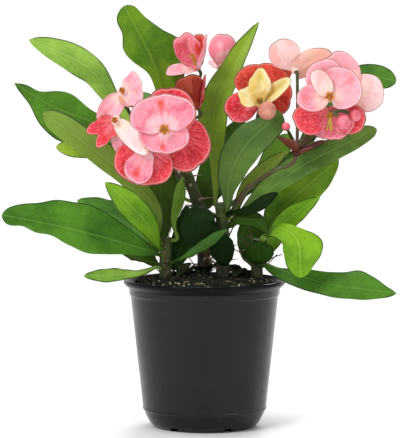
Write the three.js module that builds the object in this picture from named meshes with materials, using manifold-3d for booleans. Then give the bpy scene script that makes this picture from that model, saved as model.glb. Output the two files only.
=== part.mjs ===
// Crown of thorns plant (Euphorbia milii hybrid) in a four inch nursery pot.
// Millimetres, +Z up. The origin is the middle of the pot's flat underside and
// the plant's front looks along -Y.

import * as THREE from 'three';
import { mergeVertices } from 'three/addons/utils/BufferGeometryUtils.js';
import Module from 'manifold-3d';

const wasm = await Module();
wasm.setup();

// ---- Driving dimensions --------------------------------------------------

const RIM_RADIUS = 54; // a 4 1/4 inch rim
const POT_HEIGHT = 98.6;
const POT_WALL = 1.2;
const POT_FLOOR = 1.8;
const POT_SIDES = 32;
const WALL_FOOT = [41.2, 12.7]; // radius and height at which the straight wall starts
const WALL_TOP = [48.8, 82]; // and at which the rim starts
const DRAIN_NOTCHES = 6;
const FIRST_NOTCH = -64; // degrees from +X
const NOTCH_WIDTH = 6.5;
const NOTCH_HEIGHT = 2.7;

const SEAT = 0.3; // gap between two pieces that touch
const SOIL_EDGE = 95.2;
const SOIL_CROWN = 100.6;
const SOIL_BOTTOM = 13.5;
const SOIL_GRAIN = 1.1; // height of the lumps in the peat
const HOLE_BOTTOM = 66;
const HOLE_SIDES = 12;
const HOLE_ROOM = 0.2; // so that the flats of a hole stay clear of its stem

const STEM_SIDES = 8;
const STEM_STEPS = 8;
const SPINE_LENGTH = 8;
const SPINE_ROOT = 0.95;
const SPINE_SUNK = 1.4;
const SPINE_PITCH = 5; // height from one pair of spines to the next
const SPINE_CLEAR = 1.6; // least distance from a spine to a leaf or a stalk
const SPINE_APART = 0.42; // half angle between the two spines of a pair, radians
const SPINE_RISE = 0.12;
const SPINE_TURN = 2.4; // turn from one pair to the next, radians

const BLADE = 0.8; // thickness of a leaf
const PETIOLE = 1.2; // thickness and half width of a leaf stalk at its root
const PETIOLE_BEND = [3, 1.5]; // a leaf stalk leaves the stem this far out and up
const LEAF_STEPS = 6;
const NARROW = 14; // leaves narrower than this have one strip each side of the midrib
const FULLNESS = 0.8; // how full the outline is, 1 for a plain sine
const TIP = 0.5; // half width of the very tip

const BRACT = 0.8; // thickness of a bract
const BRACT_RINGS = 2;
const WIDE_BRACT = 23;
const SLIM_BRACT = 13;
const BRACT_SPREAD = 1.8; // half angle of the fan, radians
const STEEP_BRACT = 30; // a bract tilted more than this has a narrower fan
const STEEP_SPREAD = 1.25;
const LAYERS = [0.75, -0.95, -0.1, -1.8]; // heights of a bloom's bracts on its hub
const HUB_INNER = 2.2; // radius at which a bract starts, inside the hub's wall
const BRACT_LEAST = 3.4; // least distance from a bloom's middle to a bract's rim
const POINT_WIDTH = 0.3; // half angle over which a bract's point is drawn out, radians
const HUB_WALL = 1.3;
const HUB_SIDES = 6;
const HUB_BELOW = 2.2;
const HUB_ABOVE = 1.2;
const GLANDS = 5;
const GLAND_LOBE = 0.3; // how far a gland stands out, as a share of the cup's radius
const NECK = 1.2; // radius of the cup's neck inside the hub
const NECK_BELOW = 3; // the neck reaches this far below a bloom's centre
const CUP_DISH = 0.8; // depth of the cup's hollow
const STALK_LEAD = 7; // a flower stalk runs straight into its neck from here
const TRUNK_LEAD = 0.9; // extra gap at the foot of a cyme
const TRUNK = 1.5; // radius of a cyme's main stalk
const TWIG = 1.15; // radius of one bloom's stalk
const THINNING = 0.9; // a stalk's radius at its end, as a share of that at its start
const STALK_SIDES = 5;

const SEED = 1821;

// ---- Small tools ---------------------------------------------------------

function seeded(seed) {
  let state = seed;
  return () => {
    state = (state * 16807) % 2147483647;
    return state / 2147483647;
  };
}

const radians = THREE.MathUtils.degToRad;
const vector = ([x, y, z]) => new THREE.Vector3(x, y, z);

function geometryOf(positions, indices) {
  const geometry = new THREE.BufferGeometry();
  geometry.setAttribute('position', new THREE.Float32BufferAttribute(positions, 3));
  geometry.setIndex(indices);
  return geometry;
}

function solidOf(geometry) {
  const bare = geometry.clone();
  bare.deleteAttribute('normal');
  bare.deleteAttribute('uv');
  const merged = mergeVertices(bare, 1e-4);
  return new wasm.Manifold(
    new wasm.Mesh({
      numProp: 3,
      vertProperties: new Float32Array(merged.attributes.position.array),
      triVerts: new Uint32Array(merged.index.array),
    })
  );
}

function fromSolid(solid) {
  const mesh = solid.getMesh();
  return geometryOf(Array.from(mesh.vertProperties), Array.from(mesh.triVerts));
}

function fused(geometries) {
  return geometries.map(solidOf).reduce((sum, solid) => sum.add(solid));
}

// A closed tube round a curve, with flat ends.
function tube(curve, radiusAt, sides, steps) {
  const frames = curve.computeFrenetFrames(steps, false);
  const positions = [];
  const indices = [];
  for (let step = 0; step <= steps; step += 1) {
    const centre = curve.getPointAt(step / steps);
    const radius = radiusAt(step / steps);
    for (let side = 0; side < sides; side += 1) {
      const angle = (2 * Math.PI * side) / sides;
      const point = centre
        .clone()
        .addScaledVector(frames.normals[step], Math.cos(angle) * radius)
        .addScaledVector(frames.binormals[step], Math.sin(angle) * radius);
      positions.push(...point.toArray());
    }
  }
  for (let step = 0; step < steps; step += 1) {
    for (let side = 0; side < sides; side += 1) {
      const a = step * sides + side;
      const b = step * sides + ((side + 1) % sides);
      indices.push(a, b, b + sides, a, b + sides, a + sides);
    }
  }
  const foot = positions.length / 3;
  positions.push(...curve.getPointAt(0).toArray(), ...curve.getPointAt(1).toArray());
  for (let side = 0; side < sides; side += 1) {
    const next = (side + 1) % sides;
    indices.push(foot, next, side);
    indices.push(foot + 1, steps * sides + side, steps * sides + next);
  }
  return geometryOf(positions, indices);
}

// A closed sheet from a grid of points: both faces are split into the same triangles.
function sheet(grid, thicknessAt) {
  const rows = grid.length;
  const columns = grid[0].length;
  const positions = [];
  const indices = [];
  const normals = grid.map((row, r) =>
    row.map((point, c) => {
      const along = grid[Math.min(r + 1, rows - 1)][c].clone().sub(grid[Math.max(r - 1, 0)][c]);
      const across = row[Math.min(c + 1, columns - 1)].clone().sub(row[Math.max(c - 1, 0)]);
      return across.cross(along).normalize();
    })
  );
  for (const side of [1, -1]) {
    grid.forEach((row, r) =>
      row.forEach((point, c) => {
        const half = (side * thicknessAt(r / (rows - 1))) / 2;
        positions.push(...point.clone().addScaledVector(normals[r][c], half).toArray());
      })
    );
  }
  const back = rows * columns;
  for (let r = 0; r < rows - 1; r += 1) {
    for (let c = 0; c < columns - 1; c += 1) {
      const a = r * columns + c;
      const b = a + 1;
      const d = a + columns;
      const e = d + 1;
      indices.push(a, b, e, a, e, d);
      indices.push(back + a, back + e, back + b, back + a, back + d, back + e);
    }
  }
  const edge = (from, to) => indices.push(from, back + from, back + to, from, back + to, to);
  for (let c = 0; c < columns - 1; c += 1) {
    edge(c, c + 1);
    edge((rows - 1) * columns + c + 1, (rows - 1) * columns + c);
  }
  for (let r = 0; r < rows - 1; r += 1) {
    edge((r + 1) * columns, r * columns);
    edge(r * columns + columns - 1, (r + 1) * columns + columns - 1);
  }
  return geometryOf(positions, indices);
}

function ringOfPoints(points, sides) {
  return new THREE.LatheGeometry(
    points.map(([r, z]) => new THREE.Vector2(r, z)),
    sides
  ).rotateX(Math.PI / 2);
}

// ---- Pot -----------------------------------------------------------------

// Half section of the blow moulded pot: outside from the foot up, then inside down.
function potGeometry() {
  const outside = [
    [0, 0],
    [33.5, 0],
    [36.8, 3.4],
    [39.4, 8.2],
    WALL_FOOT,
    WALL_TOP,
    [49.3, 88],
    [50.1, 88.6],
    [50.4, 92.6],
    [53.4, 95.4],
    [RIM_RADIUS, 96.4],
    [RIM_RADIUS, POT_HEIGHT - 0.6],
    [RIM_RADIUS - 0.8, POT_HEIGHT],
  ];
  const inside = [
    [RIM_RADIUS - 2.2, POT_HEIGHT - 0.4],
    [49.1, 93.4],
    [WALL_TOP[0] - POT_WALL, WALL_TOP[1]],
    [WALL_FOOT[0] - POT_WALL, WALL_FOOT[1] + 0.2],
    [33.4, POT_FLOOR],
    [0, POT_FLOOR],
  ];
  const wall = solidOf(ringOfPoints([...outside, ...inside], POT_SIDES));
  const notches = [];
  for (let notch = 0; notch < DRAIN_NOTCHES; notch += 1) {
    const angle = radians(FIRST_NOTCH + (360 / DRAIN_NOTCHES) * notch);
    notches.push(
      new THREE.BoxGeometry(16, NOTCH_WIDTH, 2 * NOTCH_HEIGHT).translate(35, 0, 0).rotateZ(angle)
    );
  }
  return fromSolid(wall.subtract(fused(notches)));
}

// ---- Stems ---------------------------------------------------------------

// Each stem stands straight in its hole, then follows its path above the soil.
const STEMS = {
  left: { foot: [-26, -4], path: [[-26, -4, 112], [-25, -4, 127]], radius: [4.6, 3.8] },
  middle: { foot: [0, 14], path: [[-1, 14, 122], [-4, 12, 146], [-13, 8, 171]], radius: [4.9, 3.8] },
  centre: { foot: [12, -6], path: [[12, -6, 118], [12, -5, 134], [11, -6, 150]], radius: [4.9, 4.2] },
  right: { foot: [35, 3], path: [[35, 3, 112], [36, 2, 125]], radius: [4.6, 3.8] },
};

function stemCurve(stem) {
  const [x, y] = stem.foot;
  const below = [HOLE_BOTTOM + SEAT, 84, SOIL_CROWN + 1].map((z) => new THREE.Vector3(x, y, z));
  return new THREE.CatmullRomCurve3([...below, ...stem.path.map(vector)], false, 'catmullrom', 0.5);
}

function stemRadius(stem, t) {
  return THREE.MathUtils.lerp(stem.radius[0], stem.radius[1], t);
}

// A stem's axis and radius at a height.
function stemAt(stem, height) {
  const curve = stemCurve(stem);
  let low = 0;
  let high = 1;
  for (let halving = 0; halving < 20; halving += 1) {
    const middle = (low + high) / 2;
    if (curve.getPointAt(middle).z < height) low = middle;
    else high = middle;
  }
  return { centre: curve.getPointAt(low), along: curve.getTangentAt(low), radius: stemRadius(stem, low) };
}

// The level distance from a stem's axis to its skin, which is longer on the side it leans to.
function levelRadius({ along, radius }, out) {
  return radius / Math.sqrt(1 - out.dot(along) ** 2);
}

// A root on a stem's skin, on the side that looks towards a point.
function rootOn(stem, height, towards) {
  const place = stemAt(stem, height);
  const out = towards.clone().sub(place.centre).setZ(0).normalize();
  const distance = levelRadius(place, out) + SEAT + PETIOLE / 2;
  return { out, point: place.centre.addScaledVector(out, distance) };
}

// ---- Leaves --------------------------------------------------------------

// A leaf grows from a stem at a height, by way of its points, and its upper side
// looks towards face, or turns from face to turned. Its outline is either width
// and peak, the place of the widest part, or the half widths at its stations:
// half on both sides, or left and right as seen with the tip up. fold closes the
// two halves upwards, in degrees, and ripple is the height of the margin's waves.
const LEAVES = [
  {
    name: 'leaf_top_left_lobed', stem: 'middle', at: 168, tone: 'bright',
    path: [[-25, 6, 205], [-33, 2, 240], [-53, -2, 280.5]], face: [0.1, -1, 0.1],
    left: [1.2, 2, 2.6, 3.2, 4, 5.5, 12, 14, 10, 9.2, 5.5],
    right: [1.2, 2.5, 5, 9, 14, 20, 23, 15, 9.8, 7, 4.5],
    ripple: 1.5, waves: 2, phase: 1,
  },
  {
    name: 'leaf_left_arched', stem: 'middle', at: 163, tone: 'light',
    path: [[-38, 18, 187], [-64, 20, 221], [-80, 14, 241], [-117, 8, 258]], face: [-0.3, -1, 0.2],
    left: [1.2, 1.8, 2.6, 4, 7.3, 9.4, 8, 5, 1.2], right: [1.2, 1.8, 2.6, 4, 8, 9.6, 9.2, 6.4, 1.6],
    ripple: 1, waves: 2, phase: 0, fold: 6,
  },
  {
    name: 'leaf_left_pointed', stem: 'middle', at: 158, tone: 'green',
    path: [[-44, 24, 184], [-72, 26, 201], [-102, 24, 213], [-128, 20, 229]], face: [-0.2, -1, 0.3],
    left: [1.2, 2, 3.5, 6, 10, 16, 19.5, 15.5, 7.5, 3.8, 0.6],
    right: [1.2, 2, 3, 4.5, 5.5, 7.5, 12.8, 10.8, 4.6, 3.4, 0.6],
    ripple: 1.2, waves: 2, phase: 2,
  },
  {
    name: 'leaf_left_upper', stem: 'left', at: 123, tone: 'mid',
    path: [[-32, -10, 145], [-49, -12, 166], [-71, -15, 184], [-106, -18, 210]], face: [-0.2, -1, 0.3],
    left: [1.2, 3.5, 6, 7.2, 7.6, 7.6, 7.4, 6.6, 3.5], right: [1.2, 3.5, 6.5, 8.5, 9.5, 9.6, 9.2, 7.6, 3.5],
    ripple: 1.2, waves: 2, phase: 3, fold: 14,
  },
  {
    name: 'leaf_left_young', stem: 'middle', at: 150, tone: 'fresh',
    path: [[-30, 15, 162], [-66, 5, 183], [-99, -3, 187]], face: [0, -1, 0.2],
    width: 12, peak: 0.84, ripple: 0.5, waves: 2, phase: 0,
  },
  {
    name: 'leaf_left_inner', stem: 'left', at: 122, tone: 'deep',
    path: [[-29, 2, 146], [-30, 2, 166], [-35, 1, 187]], face: [0, -1, 0.2],
    width: 20, peak: 0.55, ripple: 1, waves: 2, phase: 1,
  },
  {
    name: 'leaf_left_long', stem: 'left', at: 115, tone: 'green',
    path: [[-42, -20, 121], [-76, -36, 132], [-103, -44, 139], [-131, -50, 145]], face: [0, -0.9, 0.5],
    left: [1.2, 4, 8, 11.5, 13.5, 11, 8, 8, 5, 6, 4],
    right: [1.2, 6, 11.5, 17, 20, 20.5, 18, 13.5, 11, 8, 3.5],
    ripple: 1.2, waves: 2.5, phase: 1,
  },
  {
    name: 'leaf_left_behind', stem: 'left', at: 118, tone: 'green',
    path: [[-54, 12, 136], [-86, 22, 150]], face: [0, -0.9, 0.5],
    width: 20, peak: 0.62, ripple: 1, waves: 2, phase: 2,
  },
  {
    name: 'leaf_left_under', stem: 'left', at: 109, tone: 'deep',
    path: [[-40, -6, 115], [-58, -3, 119]], face: [0, -0.8, 0.6],
    width: 10.5, peak: 0.5, ripple: 0.6, waves: 2, phase: 1,
  },
  {
    name: 'leaf_left_bright', stem: 'left', at: 120, tone: 'fresh',
    path: [[-38, -18, 137], [-51, -26, 152], [-65, -30, 165]], face: [-0.2, -1, 0.2],
    width: 16, peak: 0.58, ripple: 0.8, waves: 2, phase: 2, fold: 12,
  },
  {
    name: 'leaf_left_pale_tip', stem: 'left', at: 122, tone: 'light',
    path: [[-34, -8, 136], [-37.5, -9, 153]], face: [0.2, -1, 0],
    width: 7, peak: 0.7, ripple: 0.4, waves: 1, phase: 0,
  },
  {
    name: 'leaf_left_low', stem: 'left', at: 106, tone: 'light',
    path: [[-43, -20, 104.6], [-60, -30, 104.2], [-79, -36, 104]], face: [0, -0.8, 0.6],
    width: 9, peak: 0.72, ripple: 0.5, waves: 2, phase: 0,
  },
  {
    name: 'leaf_left_upright', stem: 'left', at: 125, tone: 'green',
    path: [[-20, -6, 138], [-16, -6, 153], [-14.5, -8, 167]], face: [-0.5, -1, 0],
    width: 9.5, peak: 0.72, ripple: 0.3, waves: 2, phase: 0, fold: 30,
  },
  {
    name: 'leaf_front_folded', stem: 'left', at: 109, tone: 'green',
    path: [[-12, -20, 115], [1, -26, 122], [15, -30, 134]], face: [-0.2, -0.7, 0.7],
    width: 10, peak: 0.7, ripple: 0.5, waves: 2, phase: 0, fold: 32,
  },
  {
    name: 'leaf_front_round', stem: 'centre', at: 140, tone: 'deep',
    path: [[3, -16.5, 145.5], [-2, -19.8, 141], [-3.6, -20.3, 131], [-2.6, -19.4, 120.5]],
    face: [0, -0.3, 1], turned: [0, -1, 0], width: 24, peak: 0.64, ripple: 0.8, waves: 2, phase: 2,
  },
  {
    name: 'leaf_top_tall', stem: 'centre', at: 147, tone: 'bright',
    path: [[8, 0, 178], [7, -3, 212], [20, -2, 243], [36, 0, 270]], face: [-0.3, -1, 0.1],
    half: [1.2, 3.5, 6.5, 10.5, 10, 7.6, 5.8, 3.2, 0.6],
    ripple: 1.2, waves: 2, phase: 1, fold: 16,
  },
  {
    name: 'leaf_centre_broad', stem: 'centre', at: 145, tone: 'mid',
    path: [[17, -17, 168], [27, -23, 189], [50, -28, 210.5]], face: [-0.1, -1, 0.3],
    left: [1.2, 4, 9, 11.5, 12.5, 10.5, 7.5, 5.8, 3.4], right: [1.2, 3.6, 8, 10.5, 12, 12, 11, 9.5, 5],
    ripple: 1, waves: 2, phase: 0,
  },
  {
    name: 'leaf_centre_narrow', stem: 'centre', at: 139, tone: 'mid',
    path: [[26, -5, 158], [39, -3, 171], [55, 1, 184]], face: [-0.3, -1, 0.3],
    width: 9.5, peak: 0.65, ripple: 0.4, waves: 2, phase: 0, fold: 15,
  },
  {
    name: 'leaf_right_large', stem: 'centre', at: 136, tone: 'mid',
    path: [[39, -14, 156], [64, -20, 175], [91, -22, 189], [113, -20, 199.5]], face: [0.2, -1, 0.3],
    left: [1.2, 4.5, 8.5, 9.5, 8.5, 8, 7.5, 6, 2.8], right: [1.2, 3, 5, 6.5, 7.2, 7.2, 6.6, 5.2, 2.4],
    ripple: 1, waves: 2, phase: 1, fold: 6,
  },
  {
    name: 'leaf_right_broad', stem: 'right', at: 119, tone: 'bright',
    path: [[48, 4, 141], [66, -3, 159], [89, -6, 179]], face: [0.1, -1, 0.2],
    left: [1.2, 4, 9, 12, 13, 12.4, 10, 6, 1], right: [1.2, 4, 8.5, 11.5, 12, 10.8, 8.4, 5, 1],
    ripple: 1.2, waves: 2, phase: 2,
  },
  {
    name: 'leaf_right_bright', stem: 'right', at: 116, tone: 'fresh',
    path: [[53, -6, 137], [76, -18, 155]], face: [0.3, -1, 0.2],
    width: 13, peak: 0.5, ripple: 0.5, waves: 2, phase: 0, fold: 18,
  },
  {
    name: 'leaf_right_hanging', stem: 'right', at: 122, tone: 'fresh',
    path: [[42, -15, 132.5], [52, -27, 134], [61, -34, 126], [63, -36, 103]],
    face: [0, -0.4, 1], turned: [0, -1, 0],
    left: [1.2, 1.8, 3, 4, 5, 8, 16, 14, 9.6, 6.2, 3.4],
    right: [1.2, 4, 7, 9, 9.5, 10, 10.5, 10.5, 9.5, 7, 3.5],
    ripple: 0.8, waves: 2, phase: 1,
  },
  {
    name: 'leaf_right_low', stem: 'right', at: 107, tone: 'green',
    path: [[53, -12, 105], [83, -22, 97], [104, -26, 94.5], [126, -26, 91.5]], face: [0, -0.85, 0.6],
    left: [1.2, 1.6, 5.5, 8, 11.4, 13.5, 10, 4.5, 1], right: [1.2, 6.5, 8.2, 9.3, 9.3, 8.3, 6.5, 4.2, 1],
    ripple: 1, waves: 2, phase: 1,
  },
  {
    name: 'leaf_top_right', stem: 'centre', at: 148, tone: 'green',
    path: [[64, 16, 184], [82, 24, 219], [106, 24, 233], [129, 20, 230.5]], face: [0, -1, 0.4],
    half: [1.2, 2, 3, 4.5, 6, 7.5, 8.8, 8.4, 4.5],
    ripple: 0.8, waves: 2, phase: 0,
  },
  {
    name: 'leaf_centre_curled', stem: 'centre', at: 134, tone: 'deep',
    path: [[24, -18, 140], [34, -24, 139], [42, -27, 131]], face: [0, -0.8, 0.6],
    width: 11, peak: 0.55, ripple: 0.5, waves: 1, phase: 0, fold: 10,
  },
  {
    name: 'leaf_centre_dark', stem: 'centre', at: 142, tone: 'deep',
    path: [[31, -24, 147], [48, -29, 158]], face: [-0.3, -0.9, 0.5],
    width: 8, peak: 0.7, ripple: 0.4, waves: 1, phase: 0, fold: 12,
  },
  {
    name: 'leaf_base_centre', stem: 'centre', at: 109, tone: 'deep',
    path: [[12, -15, 117], [10, -17, 132]], face: [-0.1, -1, 0],
    width: 15, peak: 0.55, ripple: 0.6, waves: 1, phase: 0,
  },
  {
    name: 'leaf_base_right', stem: 'right', at: 109, tone: 'deep',
    path: [[36, -8, 115], [36, -12, 125]], face: [0.1, -1, 0],
    width: 19, peak: 0.55, ripple: 0.6, waves: 1, phase: 1,
  },
  {
    name: 'leaf_back_left', stem: 'left', at: 117, tone: 'green',
    path: [[-31, 34, 130], [-40, 76, 127]], face: [0, -0.2, 1],
    width: 19, peak: 0.66, ripple: 1.2, waves: 2, phase: 0,
  },
  {
    name: 'leaf_back_upper_left', stem: 'middle', at: 166, tone: 'green',
    path: [[-22, 42, 195], [-42, 70, 222]], face: [-0.1, -0.8, 1],
    width: 20, peak: 0.62, ripple: 1.2, waves: 2, phase: 1,
  },
  {
    name: 'leaf_back_middle', stem: 'middle', at: 145, tone: 'deep',
    path: [[3, 24, 156], [12, 38, 178], [27, 54, 206]], face: [0.1, -1, 0.5],
    width: 23, peak: 0.46, ripple: 1.2, waves: 2, phase: 2,
  },
  {
    name: 'leaf_back_lower_left', stem: 'left', at: 106, tone: 'deep',
    path: [[-18, 3, 114], [-12.5, 3.5, 128], [-12, 2.5, 148]], face: [0, -1, 0.1],
    width: 16, peak: 0.5, ripple: 1.2, waves: 2, phase: 3,
  },
  {
    name: 'leaf_back_right', stem: 'centre', at: 138, tone: 'green',
    path: [[29, 20, 159], [44, 36, 174], [58, 50, 194]], face: [0.1, -1, 0.3],
    width: 15, peak: 0.8, ripple: 0.8, waves: 2, phase: 1,
  },
  {
    name: 'leaf_back_low_right', stem: 'right', at: 107, tone: 'deep',
    path: [[33, 16, 112], [31.5, 26, 124], [28, 36, 140]], face: [0, -1, 0.3],
    width: 18, peak: 0.5, ripple: 1.2, waves: 2, phase: 0,
  },
];

// Stations stand closer together towards the tip.
const station = (fraction) => (fraction + Math.sin((fraction * Math.PI) / 2)) / 2;

function stepsOf(leaf) {
  return (leaf.half ?? leaf.left)?.length - 1 || LEAF_STEPS;
}

function halfWidth(leaf, side, step) {
  const listed = leaf.half ?? (side < 0 ? leaf.left : leaf.right);
  if (listed) return listed[step];
  const t = station(step / LEAF_STEPS);
  const bulge = Math.sin(Math.PI * t ** (Math.log(0.5) / Math.log(leaf.peak)));
  return PETIOLE * (1 - t) + TIP * t + (leaf.width / 2) * Math.max(bulge, 0) ** FULLNESS;
}

function midrib(leaf) {
  const path = leaf.path.map(vector);
  const { point, out } = rootOn(STEMS[leaf.stem], leaf.at, path[0]);
  const [ahead, rise] = PETIOLE_BEND;
  const bend = point.clone().addScaledVector(out, ahead).setZ(point.z + rise);
  return new THREE.CatmullRomCurve3([point, bend, ...path], false, 'catmullrom', 0.5);
}

function leafGeometry(leaf) {
  const curve = midrib(leaf);
  const steps = stepsOf(leaf);
  const columns = leaf.width < NARROW ? 2 : 4;
  const face = vector(leaf.face);
  const turned = vector(leaf.turned ?? leaf.face);
  const fold = radians(leaf.fold ?? 0);
  const grid = [];
  for (let step = 0; step <= steps; step += 1) {
    const t = station(step / steps);
    const centre = curve.getPointAt(t);
    const along = curve.getTangentAt(t);
    const up = face.clone().lerp(turned, t).projectOnPlane(along).normalize();
    const across = along.clone().cross(up);
    const row = [];
    for (let column = 0; column <= columns; column += 1) {
      const u = (2 * column) / columns - 1;
      const reach = Math.abs(u) * halfWidth(leaf, Math.sign(u), step);
      const wave = Math.sin(2 * Math.PI * leaf.waves * t + leaf.phase + (u < 0 ? Math.PI / 2 : 0));
      const lift = reach * Math.sin(fold) + leaf.ripple * u * u * wave * Math.min(1, 4 * t * (1 - t));
      row.push(
        centre
          .clone()
          .addScaledVector(across, Math.sign(u) * reach * Math.cos(fold))
          .addScaledVector(up, lift)
      );
    }
    grid.push(row);
  }
  return sheet(grid, (t) => Math.max(BLADE, PETIOLE - 2 * t));
}

// ---- Blooms --------------------------------------------------------------

// A bloom is a ring of bracts round its cup. It sits at its centre, looks along face,
// and each bract is turned clockwise from the top, in degrees. tilt raises a bract
// towards face, belly is how far out its widest part is, as a share of its length,
// cup lifts its sides, curl bends its end back and point draws its tip out, as a share
// of its length. eye is the radius of the cup and rise its height. A bloom with a
// collar sits that far below the fork of its cyme.
const CYMES = {
  left: {
    stem: 'middle', at: 164, trunk: [[-24, -12, 176], [-34, -20, 186]],
    blooms: [
      {
        name: 'bloom_left_front', centre: [-26, -46, 200], face: [0, -1, 0.05], eye: 3.1, rise: 3,
        via: [[-36, -30, 193]],
        bracts: [
          { turn: -8, length: 23, width: 44, belly: 0.44, tilt: 14, cup: 2, curl: 2 },
          { turn: 186, length: 15.5, width: 33, belly: 0.25, tilt: 9, cup: 1, curl: 2 },
        ],
      },
      {
        name: 'bloom_left_behind', centre: [-20.5, -30, 200], face: [0.05, -1, 0], eye: 2.4, rise: 3,
        via: [[-22, -20, 190]],
        bracts: [
          { turn: -9, length: 28, width: 33, belly: 0.4, tilt: 4, cup: 0, curl: 1 },
          { turn: 145, length: 30, width: 36, belly: 0.42, tilt: 4, cup: 0, curl: 1 },
        ],
      },
      {
        name: 'bloom_left_lower', centre: [-37, -38, 187], face: [0, -1, -0.1], eye: 2.2, rise: 3,
        via: [],
        bracts: [
          { turn: 206, length: 24, width: 19, belly: 0.6, tilt: 16, cup: 1, curl: 2 },
          { turn: 197, length: 25, width: 39, belly: 0.4, tilt: 0, cup: 0, curl: 1 },
        ],
      },
      {
        name: 'bloom_left_outer', centre: [-58, -34, 206], face: [-0.1, -1, 0], eye: 2, rise: 3,
        via: [[-44, -24, 194]],
        bracts: [
          { turn: 134, length: 30, width: 12.5, belly: 0.5, tilt: 17, cup: 1, curl: 1, point: 0.12 },
          { turn: 158, length: 28, width: 17, belly: 0.55, tilt: 2, cup: 0, curl: 1 },
          { turn: 230, length: 21.5, width: 17, belly: 0.66, tilt: 8, cup: 2, curl: 1 },
        ],
      },
      {
        name: 'bloom_left_top', centre: [-54, -22, 223], face: [0, -0.9, 0.4], eye: 2, rise: 3,
        via: [[-46, -18, 204]],
        bracts: [
          { turn: 80, length: 14, width: 26, belly: 0.62, tilt: 16, cup: 1, curl: 1 },
          { turn: 213, length: 27, width: 15, belly: 0.5, tilt: 6, cup: 2, curl: 2 },
          { turn: 132, length: 13, width: 13, belly: 0.5, tilt: 14, cup: 1, curl: 1 },
        ],
      },
    ],
    buds: [],
  },
  top: {
    stem: 'middle', at: 170, trunk: [[-12, 7, 190], [-9, 5, 208]],
    blooms: [
      {
        name: 'bloom_top_cup', centre: [-5, -10, 240.5], face: [-0.35, -0.5, 0.8], eye: 1.7, rise: 7,
        via: [[-7, 7, 226]],
        bracts: [
          { turn: -50, length: 23.5, width: 18, belly: 0.5, tilt: 58, cup: 3, curl: 0, point: 0.14 },
          { turn: 72, length: 29, width: 16, belly: 0.5, tilt: 60, cup: 2, curl: 0 },
          { turn: 8, length: 21, width: 15, belly: 0.6, tilt: 58, cup: 1, curl: 0, point: 0.12 },
          { turn: -106, length: 23, width: 12, belly: 0.6, tilt: 5, cup: 1, curl: 0 },
        ],
      },
      {
        name: 'bloom_top_back', centre: [11, 9, 240], face: [0.05, 0.5, 0.86], eye: 1.7, rise: 5,
        via: [[2, 10, 226]],
        bracts: [
          { turn: -8, length: 23, width: 19, belly: 0.55, tilt: 44, cup: 2, curl: 0 },
          { turn: 168, length: 20, width: 16, belly: 0.5, tilt: 45, cup: 2, curl: 0 },
        ],
      },
      {
        name: 'bloom_top_lower', centre: [-5, -12, 214.5], face: [-0.35, -0.25, 0.9], eye: 1.5, rise: 3,
        via: [[-11, -3, 205]],
        bracts: [
          { turn: 125, length: 28, width: 19, belly: 0.62, tilt: 74, cup: 2, curl: 0 },
          { turn: 40, length: 24, width: 12, belly: 0.5, tilt: 60, cup: 1, curl: 0 },
          { turn: -50, length: 22, width: 18, belly: 0.6, tilt: 66, cup: 2, curl: 0 },
        ],
      },
    ],
    buds: [],
  },
  centre: {
    stem: 'centre', at: 146, trunk: [[22, 4, 172], [34, 2, 200]],
    blooms: [
      {
        name: 'bloom_centre_red', centre: [38, -10, 223], face: [0, -1, 0.05], eye: 2, rise: 3,
        via: [],
        bracts: [
          { turn: -6, length: 20, width: 35, belly: 0.42, tilt: 5, cup: 0, curl: 1 },
          { turn: 105, length: 20, width: 29, belly: 0.42, tilt: 0, cup: 0, curl: 1 },
          { turn: 236, length: 28, width: 20, belly: 0.6, tilt: 2, cup: 0, curl: 1 },
          { turn: 41, length: 26, width: 15, belly: 0.6, tilt: -3, cup: 0, curl: 1, point: 0.12 },
        ],
      },
      {
        name: 'bloom_centre_cream', centre: [36, -24, 217.5], face: [0, -1, 0.1], eye: 2.6, rise: 3,
        via: [[35.5, -10, 206]],
        bracts: [
          { turn: 1, length: 20, width: 15, belly: 0.55, tilt: 14, cup: 1, curl: 1 },
          { turn: 53, length: 20.5, width: 10, belly: 0.42, tilt: 6, cup: 1, curl: 1, point: 0.18 },
          { turn: -66, length: 14, width: 14, belly: 0.55, tilt: 10, cup: 1, curl: 1 },
        ],
      },
    ],
    buds: [{ from: [36, -28, 218], centre: [40.5, -37.5, 212], radius: 6, stalk: [] }],
  },
  right: {
    stem: 'centre', at: 143,
    trunk: [[28, -12, 159.5], [46, -23, 172.5], [57.4, -28, 177.5], [60.4, -29, 187]],
    blooms: [
      {
        name: 'bloom_right_front', centre: [80.5, -46, 221], face: [0, -1, 0.1], eye: 2.8, rise: 3,
        via: [[73, -22, 205], [81, -27, 220.5]],
        bracts: [
          { turn: -31, length: 21, width: 12.5, belly: 0.5, tilt: 20, cup: 1, curl: 1 },
          { turn: 50, length: 23, width: 29, belly: 0.42, tilt: 14, cup: 2, curl: 2 },
          { turn: -93, length: 22, width: 18, belly: 0.5, tilt: 12, cup: 1, curl: 1 },
          { turn: -12, length: 25, width: 26, belly: 0.5, tilt: 4, cup: 0, curl: 1 },
        ],
      },
      {
        name: 'bloom_right_back_left', centre: [60, -14, 238], face: [-0.1, 0.8, 0.5], eye: 2, rise: 3,
        via: [[61, -20, 210]],
        bracts: [
          { turn: 37, length: 25, width: 21, belly: 0.55, tilt: 8, cup: 1, curl: 1 },
          { turn: -63, length: 27, width: 20, belly: 0.42, tilt: 6, cup: 1, curl: 1 },
        ],
      },
      {
        name: 'bloom_right_back', centre: [97, -28, 226], face: [0.1, -1, 0.2], eye: 2, rise: 3,
        via: [[80, -20, 200], [92, -20, 215]],
        bracts: [
          { turn: -34, length: 27, width: 25, belly: 0.5, tilt: 2, cup: 0, curl: 1 },
          { turn: 106, length: 21.5, width: 25, belly: 0.42, tilt: 2, cup: 0, curl: 1 },
        ],
      },
      {
        name: 'bloom_right_red', centre: [81, -38, 211.5], face: [0, -0.93, -0.35], eye: 2.4, rise: 6,
        via: [[70, -24, 197], [79, -24, 209]],
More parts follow.
